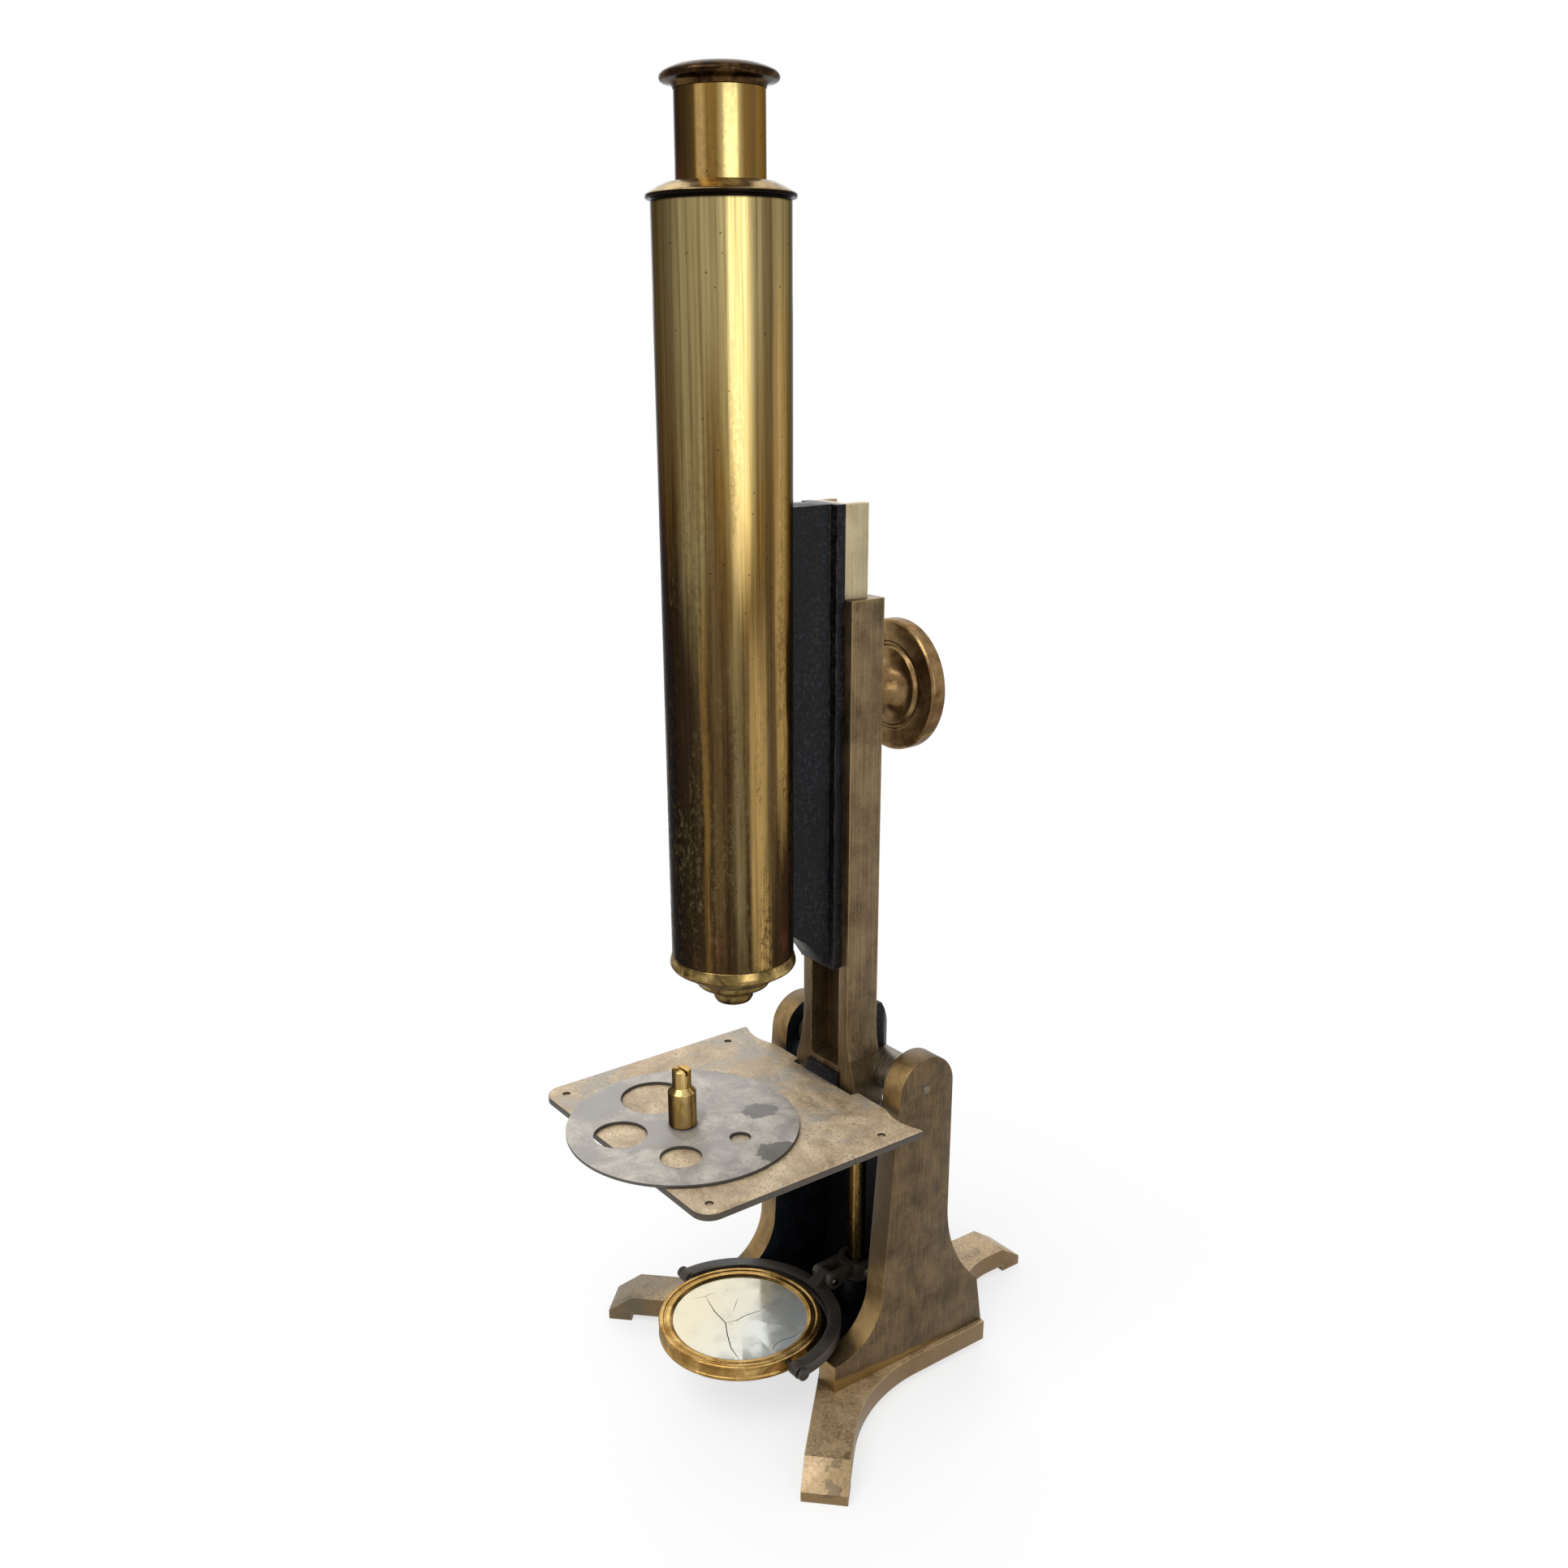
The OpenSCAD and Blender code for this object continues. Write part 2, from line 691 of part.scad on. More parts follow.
// Rear edge of the stage in the middle, where it meets the bracket's tongue
stage_rear_mid = limb_front - 1.4;
stage_screw_r = 1;
stage_screw_l = 4.2;

module at_stage_screws() {
    for (s = [-1, 1]) translate([s * (bracket_w / 2 - 4), light_r + 10.5, stage_h]) rotate([180, 0, 0])
        children();
}

module stage_screw() {
    screw(stage_screw_r, stage_screw_l);
}

module stage_screw_hole() {
    screw_hole(stage_screw_r, stage_screw_l);
}

module stage_outline() {
    scoop_x = stage_w / 2 - 9.5;
    difference() {
        union() {
            translate([-stage_w / 2, stage_corner_r - stage_front])
                square([stage_w, stage_front + stage_rear - stage_corner_r]);
            translate([stage_corner_r - stage_w / 2, -stage_front])
                square([stage_w - 2 * stage_corner_r, 2 * stage_corner_r]);
            for (s = [-1, 1]) translate([s * (stage_w / 2 - stage_corner_r), stage_corner_r - stage_front])
                circle(stage_corner_r);
        }
        circle(light_r);
        for (s = [-1, 1]) translate([s * scoop_x, stage_rear + stage_scoop_r - stage_scoop_d])
            circle(stage_scoop_r);
        translate([-limb_foot_w / 2 - side_gap, stage_rear_mid])
            square([limb_foot_w + 2 * side_gap, limb_d]);
    }
}

module stage_plate() {
    dimple_r = 1.3;
    on_axis() color(AGED) difference() {
        translate([0, 0, stage_foot]) linear_extrude(stage_t) stage_outline();
        for (s = [-1, 1], y = [dimple_inset - stage_front, stage_rear - 2 * dimple_inset])
            translate([s * (stage_w / 2 - dimple_inset), y, stage_h - 0.8]) cylinder(r = dimple_r, h = CUT);
        translate([0, -disc_pivot, stage_foot - CUT])
            cylinder(r = post_shank_r + fit_gap, h = stage_t + 2 * CUT);
        at_stage_screws() stage_screw_hole();
    }
}

module stage_screws() {
    on_axis() color(BRASS) at_stage_screws() stage_screw();
}

// Post that the disc turns on: its shank goes through disc and stage into a nut
nut_t = 3;

// Slot in the end of the post, by which it is screwed in
post_slot_w = 0.9;
post_slot_d = 1.4;

module disc_post() {
    top = stage_h + post_h;
    shoulder = top - 6.2;
    shank_foot = stage_foot - nut_t - 0.6;
    on_axis() color(BRIGHT) translate([0, -disc_pivot, 0]) difference() {
        rotate_extrude() polygon([
            [0, shank_foot], [post_shank_r, shank_foot], [post_shank_r, post_foot_gap],
            [post_r - 0.3, post_foot_gap], [post_r, post_foot_gap + 0.3], [post_r, shoulder - 1.3],
            [post_neck_r + 0.3, shoulder], [post_neck_r, shoulder + 0.3], [post_neck_r, top - 0.3],
            [post_neck_r - 0.3, top], [0, top]
        ]);
        translate([-post_r, -post_slot_w / 2, top - post_slot_d])
            cube([2 * post_r, post_slot_w, post_slot_d + CUT]);
    }
}

module post_nut() {
    on_axis() color(STEEL) translate([0, -disc_pivot, stage_foot - nut_t]) difference() {
        cylinder(r = 5.4, h = nut_t, $fn = 6);
        translate([0, 0, -CUT]) cylinder(r = post_shank_r + fit_gap, h = nut_t + 2 * CUT);
    }
}

module aperture_disc() {
    on_axis() color(STEEL) translate([0, -disc_pivot, disc_foot]) linear_extrude(disc_t) difference() {
        circle(disc_r);
        circle(post_shank_r + run_gap);
        for (hole = DISC_HOLES) rotate(hole[1]) translate([disc_pivot, 0]) circle(hole[0]);
    }
}

// Focus slide, rack and pinion

rack_pitch = gear_module * PI;
tan_20 = tan(20);

slide_screw_r = 1.4;
slide_screw_l = 9;
slide_screw_inset = 12;
rack_screw_r = 0.6;
rack_screw_l = 5.4;
rack_screw_inset = 4;
rack_sunk = 1.4;

// Channel in the slide's back, in which rack and pinion lie
module slide_channel_plan() {
    translate([-rack_back_x, channel_front])
        square([rack_back_x + pitch_r + tooth_out + 0.5, slide_d]);
}

module at_slide_screws() {
    for (z = [slide_foot + slide_screw_inset, slide_top - slide_screw_inset])
        translate([0, channel_front, z]) rotate([90, 0, 0]) children();
}

module slide_screw_hole() {
    screw_hole(slide_screw_r, slide_screw_l);
}

module at_rack_screws() {
    for (z = [rack_low + rack_screw_inset, rack_high - rack_screw_inset])
        translate([-(rack_back_x + pitch_r + tooth_in) / 2, slide_back - rack_sunk, z])
            rotate([90, 0, 0]) children();
}

module rack_screw_hole() {
    screw_hole(rack_screw_r, rack_screw_l);
}

module dovetail_slide() {
    on_axis() color(BRASS) difference() {
        translate([0, 0, slide_foot]) linear_extrude(slide_top - slide_foot) slide_plan(0);
        translate([0, 0, slide_foot - CUT])
            linear_extrude(slide_top - slide_foot + 2 * CUT) slide_channel_plan();
        at_slide_screws() slide_screw_hole();
        at_rack_screws() rack_screw_hole();
    }
}

// Tooth of the rack, pointing to +X, centred on its height
module rack_tooth() {
    half = rack_pitch / 4 - tooth_slack / 2;
    root = tooth_in + CUT;
    polygon([
        [-root, half + root * tan_20], [-root, -half - root * tan_20],
        [tooth_out, -half + tooth_out * tan_20], [tooth_out, half - tooth_out * tan_20]
    ]);
}

module gear_rack() {
    last = floor((rack_high - knob_h) / rack_pitch) - 1;
    first = -floor((knob_h - rack_low) / rack_pitch);
    on_axis() color(BRASS) difference() {
        translate([0, slide_back - rack_sunk, 0]) rotate([90, 0, 0])
            linear_extrude(slide_back - rack_sunk - channel_front)
            union() {
                translate([-rack_back_x, rack_low])
                    square([rack_back_x - pitch_r - tooth_in, rack_high - rack_low]);
                for (i = [first:last]) translate([-pitch_r, knob_h + (i + 0.5) * rack_pitch]) rack_tooth();
            }
        at_rack_screws() rack_screw_hole();
    }
}

module rack_screws() {
    on_axis() color(STEEL) at_rack_screws() screw(rack_screw_r, rack_screw_l);
}

// A point turned about the centre by an angle in degrees
function turned(p, a) = [p[0] * cos(a) - p[1] * sin(a), p[0] * sin(a) + p[1] * cos(a)];

// Point on an involute flank, at a given roll angle in degrees
function involute(base, roll) =
    base * [cos(roll) + roll * PI / 180 * sin(roll), sin(roll) - roll * PI / 180 * cos(roll)];

// Plan of the pinion, one tooth on +X
module pinion_plan() {
    base = pitch_r * cos(20);
    out = pitch_r + tooth_out;
    in = pitch_r - tooth_in - 0.1;
    pitch_roll = tan_20 * 180 / PI;
    tip_roll = sqrt(pow(out / base, 2) - 1) * 180 / PI;
    half = 90 / pinion_teeth + pitch_roll - 20 - tooth_slack / 2 / pitch_r * 180 / PI;
    steps = 5;
    flank = concat([[in, 0]], [for (i = [0:steps]) involute(base, tip_roll * i / steps)]);
    low = [for (p = flank) turned(p, -half)];
    up = [for (i = [len(low) - 1:-1:0]) [low[i][0], -low[i][1]]];
    polygon([for (i = [0:pinion_teeth - 1], p = concat(low, up)) turned(p, i * 360 / pinion_teeth)]);
}

module pinion_shaft() {
    rear = knob_front + knob_rim_t - 1.6;
    on_axis() color(STEEL) difference() {
        union() {
            translate([0, pinion_start + pinion_l, knob_h]) rotate([90, 0, 0])
                linear_extrude(pinion_l) pinion_plan();
            translate([0, pinion_start + pinion_l / 2, knob_h]) rotate([-90, 0, 0])
                cylinder(r = shaft_r, h = rear - pinion_start - pinion_l / 2);
        }
        translate([0, rear, knob_h]) rotate([90, 0, 0]) translate([0, 0, -CUT])
            cylinder(r = 1.2 + fit_gap, h = 7 + CUT);
    }
}

// Knob with a trumpet hub towards the limb and a smooth flat rim
module focus_knob() {
    hub_l = knob_front - hub_front;
    hub_small = 6;
    hub_big = knob_groove_r - 1.3;
    curve = [for (a = [0:15:90]) [hub_small + (hub_big - hub_small) * (1 - cos(a)), hub_l * 0.93 * sin(a)]];
    rear = hub_l + knob_rim_t;
    on_axis() color(BRASS) translate([0, hub_front, knob_h]) turned_back(concat(
        [[shaft_r + fit_gap, 0], [hub_small - 0.4, 0]], curve, [
            [knob_groove_r - 0.6, hub_l + 0.6], [knob_groove_r + 0.2, hub_l + 0.6],
            [knob_groove_r + 0.7, hub_l], [knob_r - 0.8, hub_l], [knob_r, hub_l + 0.8],
            [knob_r, rear - 0.8], [knob_r - 0.8, rear], [knob_r - 4, rear], [knob_r - 5, rear - 0.8],
            [7, rear - 0.8], [5.6, rear - 0.1], [3.4, rear - 0.1], [3.4, rear - 1.5],
            [shaft_r + fit_gap, rear - 1.5]
        ]));
}

module knob_screw() {
    rear = knob_front + knob_rim_t - 0.1;
    on_axis() color(STEEL) translate([0, rear, knob_h]) rotate([90, 0, 0]) difference() {
        union() {
            cylinder(r = 3.3, h = 1.4);
            cylinder(r = 1.2, h = 8);
        }
        translate([-4, -0.35, -CUT]) cube([8, 0.7, CUT + 0.6]);
    }
}

// Black bracket: a flange on the slide and a web that holds the tube
module tube_bracket() {
    flange_front = slide_front - flange_t;
    on_axis() color(BLACK) difference() {
        union() {
            translate([-flange_w / 2, flange_front, slide_foot])
                cube([flange_w, flange_t, slide_top - slide_foot]);
            across(web_w) polygon([
                [tube_r - 3, web_foot], [tube_r, web_foot], [tube_r + 5.5, slide_foot + 10.4],
                [tube_r + 9.8, slide_foot + 5.6], [tube_r + 12.5, slide_foot + 1.5],
                [flange_front + CUT, slide_foot],
                [flange_front + CUT, slide_top], [tube_r - 3, slide_top]
            ]);
        }
        translate([0, 0, slide_foot - CUT]) cylinder(r = tube_r, h = slide_top);
        at_slide_screws() slide_screw_hole();
        at_tube_screws() tube_screw_hole();
    }
}

module slide_screws() {
    on_axis() color(STEEL) at_slide_screws() screw(slide_screw_r, slide_screw_l);
}

// Short screws from inside the tube into the web
tube_screw_r = 1.1;
tube_screw_l = 6.9;
tube_screw_head_r = 2;
tube_screw_head_t = 0.9;
tube_screw_out = 1.2;
tube_screw_inset = 8;
web_foot = slide_foot + 14.5;

module at_tube_screws() {
    for (z = [web_foot + tube_screw_inset, (slide_foot + slide_top) / 2, slide_top - tube_screw_inset])
        translate([0, tube_bore - tube_screw_out, z]) rotate([-90, 0, 0]) children();
}

module tube_screw_hole() {
    translate([0, 0, -CUT]) cylinder(r = tube_screw_r + fit_gap, h = CUT + tube_screw_l + 2 * fit_gap);
}

module tube_screws() {
    on_axis() color(STEEL) at_tube_screws() union() {
        cylinder(r = tube_screw_head_r, h = tube_screw_head_t);
        cylinder(r = tube_screw_r, h = tube_screw_l);
    }
}

// Body tube, its ends and what is inside

module body_tube() {
    on_axis() color(BRASS) difference() {
        translate([0, 0, tube_foot]) cylinder(r = tube_r, h = tube_top - tube_foot);
        translate([0, 0, tube_foot - CUT]) cylinder(r = tube_bore, h = tube_top - tube_foot + 2 * CUT);
        at_tube_screws() tube_screw_hole();
    }
}

// Cap ring with a groove under its edge, a spigot in the tube and a threaded hole
spigot_l = 8;
groove_d = 0.5;
groove_t = 0.4;

module top_ring() {
    spigot = tube_bore - fit_gap;
    top = tube_top + ring_t;
    on_axis() color(BRASS) rotate_extrude() polygon([
        [draw_bush_r + fit_gap, tube_top - spigot_l], [spigot, tube_top - spigot_l], [spigot, tube_top],
        [tube_r - groove_d, tube_top], [tube_r - groove_d, tube_top + groove_t],
        [ring_r - 0.3, tube_top + groove_t], [ring_r, tube_top + 2 * groove_t], [ring_r, tube_top + 1.4],
        [ring_r - 0.5, tube_top + 1.8], [ring_r - 3, top], [eye_r + 3, top + 1],
        [draw_bush_r + fit_gap, top + 1]
    ]);
}

module draw_bush() {
    top = tube_top + ring_t + 1.2;
    on_axis() color(BRASS) rotate_extrude() polygon([
        [guide_r, top - bush_l], [draw_bush_r, top - bush_l], [draw_bush_r, top - 0.3],
        [draw_bush_r - 0.3, top], [guide_r + 0.3, top], [guide_r, top - 0.3]
    ]);
}

// Light stop half way up the tube
tube_stop_r = 9;
tube_stop_l = 4;
stop_wall = 1.2;

module tube_stop() {
    on_axis() color(BLACK) translate([0, 0, (tube_foot + tube_top) / 2 - 10]) difference() {
        cylinder(r = tube_bore - fit_gap, h = tube_stop_l);
        translate([0, 0, -CUT]) cylinder(r = tube_stop_r, h = tube_stop_l + 2 * CUT);
        translate([0, 0, stop_wall]) cylinder(r = tube_bore - stop_wall, h = tube_stop_l);
    }
}

// Cone that closes the tube, with a bright lip, hollow inside, threaded for the ring below
module nose_cone() {
    spigot = tube_bore - fit_gap;
    drop = nose_l;
    on_axis() color(BRASS) rotate_extrude() polygon([
        [objective_thread_r + fit_gap, nose_foot], [nose_r - 0.3, nose_foot], [nose_r, nose_foot + 0.3],
        [nose_r + 1.3, nose_foot + 1.1], [tube_r - 2.2, tube_foot - drop * 0.64],
        [nose_lip_r - 0.5, tube_foot - drop * 0.52], [nose_lip_r, tube_foot - drop * 0.42],
        [nose_lip_r, tube_foot - drop * 0.32], [nose_lip_r - 0.4, tube_foot - drop * 0.14],
        [tube_r, tube_foot], [spigot, tube_foot], [spigot, tube_foot + 6],
        [spigot - 1.5, tube_foot + 6], [spigot - 1.5, tube_foot - drop * 0.3],
        [objective_thread_r + 3, nose_foot + 2.2], [objective_thread_r + fit_gap, nose_foot + 2.2]
    ]);
}

// Ring with a thread that goes up into the nose cone and holds the objective
module nose_ring() {
    bore = 6;
    on_axis() color(BRIGHT) rotate_extrude() polygon([
        [bore, nose_ring_foot], [nose_ring_r - 1.6, nose_ring_foot],
        [nose_ring_r - 0.5, nose_ring_foot + 0.5],
        [nose_ring_r, nose_ring_foot + 1.3], [nose_ring_r, nose_foot - 0.8], [nose_ring_r - 0.4, nose_foot],
        [objective_thread_r, nose_foot], [objective_thread_r, nose_foot + 4.5], [bore, nose_foot + 4.5]
    ]);
}

// Objective: a thread in the ring, a waist and a small tip around the front lens
module objective_barrel() {
    tip = nose_ring_foot - objective_l;
    thread = 6 - fit_gap;
    seat = front_lens_r + fit_gap;
    on_axis() color(BRIGHT) rotate_extrude() polygon([
        [front_lens_r - 0.8, tip], [tip_r - 1.8, tip], [tip_r - 0.7, tip + 0.4], [tip_r, tip + 1.6],
        [tip_r, nose_ring_foot - 2.4], [tip_r + 0.3, nose_ring_foot - 1.7],
        [tip_r + 1.4, nose_ring_foot - 1.1], [tip_r + 2.4, nose_ring_foot - 0.3],
        [tip_r + 2.6, nose_ring_foot], [thread, nose_ring_foot],
        [thread, nose_foot + 3.5], [seat + 0.8, nose_foot + 3.5], [seat + 0.8, tip + 3.2], [seat, tip + 3.2],
        [seat, tip + 0.7], [front_lens_r - 0.8, tip + 0.7]
    ]);
}

module objective_lens() {
    tip = nose_ring_foot - objective_l;
    on_axis() color(GLASS) translate([0, 0, tip + 0.7]) rotate_extrude() polygon([
        [0, 0], [front_lens_r, 0], [front_lens_r, 1], [front_lens_r * 0.85, 1.5],
        [front_lens_r * 0.6, 1.95], [front_lens_r * 0.3, 2.2], [0, 2.3]
    ]);
}

// Eyepiece

module eyepiece_tube() {
    on_axis() color(BRIGHT) difference() {
        translate([0, 0, eye_neck - eye_l]) cylinder(r = eye_r, h = eye_l);
        translate([0, 0, eye_neck - eye_l - CUT]) cylinder(r = eye_bore, h = eye_l + 2 * CUT);
    }
}

// Flange with a hollow underside and a shallow dished top with the eye hole
module eyepiece_flange() {
    spigot = eye_bore - fit_gap;
    rim = eye_top - 3.2;
    lens_r = 7.6;
    on_axis() color(BRASS) rotate_extrude() polygon([
        [lens_r, eye_neck - 5], [spigot, eye_neck - 5], [spigot, eye_neck], [eye_r + 0.1, eye_neck],
        [eye_r + 0.3, eye_neck + 0.8], [eye_r + 0.9, eye_neck + 1.4], [eye_flange_r - 1.4, rim - 0.9],
        [eye_flange_r - 0.4, rim - 0.7], [eye_flange_r, rim - 0.2], [eye_flange_r, rim + 0.4],
        [eye_flange_r - 0.4, rim + 1.1], [eye_flange_r - 1.6, rim + 1.8], [eye_r, rim + 2.6],
        [8.4, eye_top - 0.1], [7.6, eye_top], [6.6, eye_top - 0.3], [eye_hole_r, eye_top - 1.6],
        [eye_hole_r, eye_top - 2.4], [lens_r, eye_top - 2.4]
    ]);
}

// Plano-convex lens, flat side up, its curved side below
module lens(r, edge, bulge) {
    rotate_extrude() polygon(concat(
        [[0, 0], [r, 0]], [for (a = [0:15:90]) [r * cos(a), -edge - bulge * sin(a)]]
    ));
}

module eye_lens() {
    on_axis() color(GLASS) translate([0, 0, eye_top - 2.5]) lens(7.6 - fit_gap, 1.4, 2);
}

field_stop_r = 7.5;
field_stop_l = 2.5;

module field_stop() {
    on_axis() color(BLACK) translate([0, 0, eye_neck - eye_l / 2]) difference() {
        cylinder(r = eye_bore - fit_gap, h = field_stop_l);
        translate([0, 0, -CUT]) cylinder(r = field_stop_r, h = field_stop_l + 2 * CUT);
        translate([0, 0, stop_wall]) cylinder(r = eye_bore - stop_wall, h = field_stop_l);
    }
}

module field_lens() {
    on_axis() color(GLASS) translate([0, 0, eye_neck - eye_l + 7]) lens(eye_bore - fit_gap, 1.8, 2.6);
}

// Tail rod and mirror

module tail_rod() {
    on_axis() color(BRASS) translate([0, axis_back, 0]) rotate_extrude() polygon([
        [0, rod_foot], [rod_r - 0.4, rod_foot], [rod_r, rod_foot + 0.4], [rod_r, limb_foot],
        [rod_r - rod_step, limb_foot], [rod_r - rod_step, limb_foot + rod_spigot_l],
        [0, limb_foot + rod_spigot_l]
    ]);
}

// The sleeve slides on the rod and has a shoulder that the arm's collar rests on
module rod_sleeve() {
    on_axis() color(BLACK) translate([0, axis_back, 0]) rotate_extrude() polygon([
        [rod_r + run_gap, sleeve_foot], [sleeve_r + 0.8, sleeve_foot], [sleeve_r + 1.1, sleeve_foot + 0.3],
        [sleeve_r + 1.1, arm_top - collar_l - 1.1 - side_gap], [sleeve_r, arm_top - collar_l - side_gap],
        [sleeve_r, arm_top], [sleeve_r - 0.3, arm_top + 0.3], [rod_r + run_gap, arm_top + 0.3]
    ]);
}

module cheek_outline() {
    low = arm_top - collar_l;
    hull() {
        translate([hinge_back, hinge_h]) circle(hinge_r, $fn = 32);
        translate([axis_back - collar_r - 2, low + 2]) square([1, collar_l - 2]);
    }
    translate([axis_back - collar_r - 2, low + 2]) square([collar_r, collar_l - 2]);
}

// Collar on the sleeve with two cheeks that reach forward to the hinge
module mirror_arm() {
    low = arm_top - collar_l;
    cheek_x = tongue_t / 2 + 0.1;
    on_axis() color(BLACK) difference() {
        union() {
            translate([0, axis_back, low]) cylinder(r = collar_r, h = collar_l);
            for (s = [-1, 1]) translate([s * (cheek_x + cheek_t / 2), 0, 0]) across(cheek_t) cheek_outline();
        }
        translate([0, axis_back, low - CUT]) cylinder(r = sleeve_r + run_gap, h = collar_l + 2 * CUT);
        translate([-2 * cheek_t - cheek_x, hinge_back, hinge_h]) rotate([0, 90, 0])
            cylinder(r = fork_pin_r + fit_gap, h = 4 * cheek_t + 2 * cheek_x);
        at_arm_screw() cylinder(r = 1.1 + fit_gap, h = 6);
    }
}

// Clamp screw from behind, through the collar, its tip just off the sleeve
module at_arm_screw() {
    translate([collar_r + 2.6, axis_back, arm_top - collar_l / 2]) rotate([0, -90, 0]) children();
}

module arm_screw() {
    tip_l = collar_r + 2.6 - sleeve_r - 0.3;
    on_axis() color(STEEL) at_arm_screw() union() {
        cylinder(r = 1.1, h = tip_l);
        cylinder(r = 2.2, h = 2.2);
    }
}

module fork_pin() {
    half = tongue_t / 2 + 0.1 + cheek_t;
    on_axis() color(STEEL) translate([-half - 1, hinge_back, hinge_h]) rotate([0, 90, 0])
        rotate_extrude() polygon([
            [0, 0], [2.2, 0], [2.4, 0.3], [2.4, 1], [fork_pin_r, 1], [fork_pin_r, 2 * half + 1.4],
            [fork_pin_r - 0.3, 2 * half + 1.7], [0, 2 * half + 1.7]
        ]);
}

// Half ring behind the mirror, with a tongue for the hinge and an eye at each end
module mirror_fork() {
    low = mirror_h - fork_h / 2;
    on_axis() color(BLACK) difference() {
        union() {
            intersection() {
                translate([0, mirror_back, low]) difference() {
                    cylinder(r = fork_r, h = fork_h);
                    translate([0, 0, -CUT]) cylinder(r = fork_in_r, h = fork_h + 2 * CUT);
                }
                translate([-fork_r, mirror_back, low]) cube([2 * fork_r, 2 * fork_r, fork_h]);
            }
            across(tongue_t) hull() {
                translate([hinge_back, hinge_h]) circle(hinge_r, $fn = 32);
                translate([mirror_back + fork_in_r + 1, low]) square([1, fork_h]);
            }
            for (s = [-1, 1]) translate([s * (fork_r - fork_w / 2), mirror_back, mirror_h])
                rotate([0, 90, 0]) translate([0, 0, -fork_w / 2 + 0.4]) cylinder(r = fork_h / 2 + 0.5, h = fork_w - 0.8);
        }
        translate([-fork_r - CUT, mirror_back, mirror_h]) rotate([0, 90, 0])
            cylinder(r = 1.1 + run_gap, h = 2 * fork_r + 2 * CUT);
        translate([-tongue_t, hinge_back, hinge_h]) rotate([0, 90, 0])
            cylinder(r = fork_pin_r + run_gap, h = 2 * tongue_t);
        translate([0, mirror_back, low - CUT]) cylinder(r = fork_in_r - 0.2, h = fork_h + 3 * CUT);
    }
}

// Pivot screws through the fork's ends into the mirror's frame
module mirror_screws() {
    on_axis() color(BRASS) for (s = [-1, 1]) translate([s * (fork_r + 1.5), mirror_back, mirror_h])
        rotate([0, -s * 90, 0]) union() {
            cylinder(r = 2.1, h = 1.2);
            cylinder(r = 1.1, h = fork_r + 1.5 - mirror_r + 2.4);
        }
}

// Turned frame with a bead round its top and a ledge inside for the glass
module mirror_frame() {
    top = mirror_t;
    inner = glass_r + 1.6;
    on_axis() color(BRIGHT) translate([0, mirror_back, mirror_foot]) difference() {
        rotate_extrude() polygon([
            [inner, 0], [mirror_r - 0.3, 0], [mirror_r, 0.3], [mirror_r, 1.2], [mirror_r - 0.35, 1.5],
            [mirror_r - 0.35, top - 1.4], [mirror_r, top - 1.1], [mirror_r, top - 0.4],
            [mirror_r - 0.4, top],
            [mirror_r - 1.5, top], [mirror_r - 1.9, top - 0.35], [mirror_r - 2.3, top - 0.35],
            [mirror_r - 2.6, top - 0.1], [glass_r + 1.2, top - 0.15], [glass_r, top - 0.9],
            [inner, top - 0.9]
        ]);
        for (s = [-1, 1]) translate([s * (mirror_r + CUT), 0, mirror_t - mirror_up]) rotate([0, -s * 90, 0])
            cylinder(r = 1.1 + fit_gap, h = 2.6 + CUT);
    }
}

module mirror_glass() {
    on_axis() color(GLASS) translate([0, mirror_back, mirror_foot + mirror_t - 0.9 - glass_t])
        cylinder(r = glass_r + 1.6 - fit_gap, h = glass_t);
}

module mirror_backing() {
    on_axis() color(BLACK) translate([0, mirror_back, mirror_foot + 0.4])
        cylinder(r = glass_r + 1.6 - fit_gap, h = mirror_t - 1.3 - glass_t);
}

tripod_base();
near_upright();
far_upright();
cross_plate();
foot_screws();
trunnion_pins();
limb();
trunnion_block();
trunnion_axle();
limb_screws();
stage_bracket();
bracket_pins();
stage_plate();
stage_screws();
disc_post();
post_nut();
tail_rod();
pinion_bush();
dovetail_slide();
gear_rack();
rack_screws();
tube_bracket();
slide_screws();
tube_screws();
body_tube();
top_ring();
draw_bush();
tube_stop();
nose_cone();
nose_ring();
objective_barrel();
objective_lens();
eyepiece_tube();
eyepiece_flange();
eye_lens();
field_stop();
field_lens();
focus_knob();
pinion_shaft();
knob_screw();
aperture_disc();
rod_sleeve();
mirror_arm();
arm_screw();
mirror_fork();
fork_pin();
mirror_frame();
mirror_glass();
mirror_backing();
mirror_screws();
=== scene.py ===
"""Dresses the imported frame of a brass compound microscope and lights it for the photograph's view."""

import logging
import math
from dataclasses import dataclass
from enum import Enum
from typing import Iterable, Optional, Sequence, Union

import bmesh
import bpy
from mathutils import Matrix, Vector


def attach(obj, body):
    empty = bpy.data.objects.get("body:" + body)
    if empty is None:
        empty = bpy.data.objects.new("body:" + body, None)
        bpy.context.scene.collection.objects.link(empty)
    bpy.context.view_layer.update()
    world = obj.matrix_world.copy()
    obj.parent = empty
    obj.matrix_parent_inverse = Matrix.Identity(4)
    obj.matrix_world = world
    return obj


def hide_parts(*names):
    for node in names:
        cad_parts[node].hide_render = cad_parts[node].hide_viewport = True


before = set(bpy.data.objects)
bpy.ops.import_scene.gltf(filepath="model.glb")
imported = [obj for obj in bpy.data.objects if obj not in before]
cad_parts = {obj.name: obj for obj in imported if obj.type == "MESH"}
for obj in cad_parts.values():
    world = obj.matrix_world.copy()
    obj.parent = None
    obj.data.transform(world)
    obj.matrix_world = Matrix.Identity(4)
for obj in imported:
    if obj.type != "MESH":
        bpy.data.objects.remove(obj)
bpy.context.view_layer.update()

LOG = logging.getLogger("microscope")

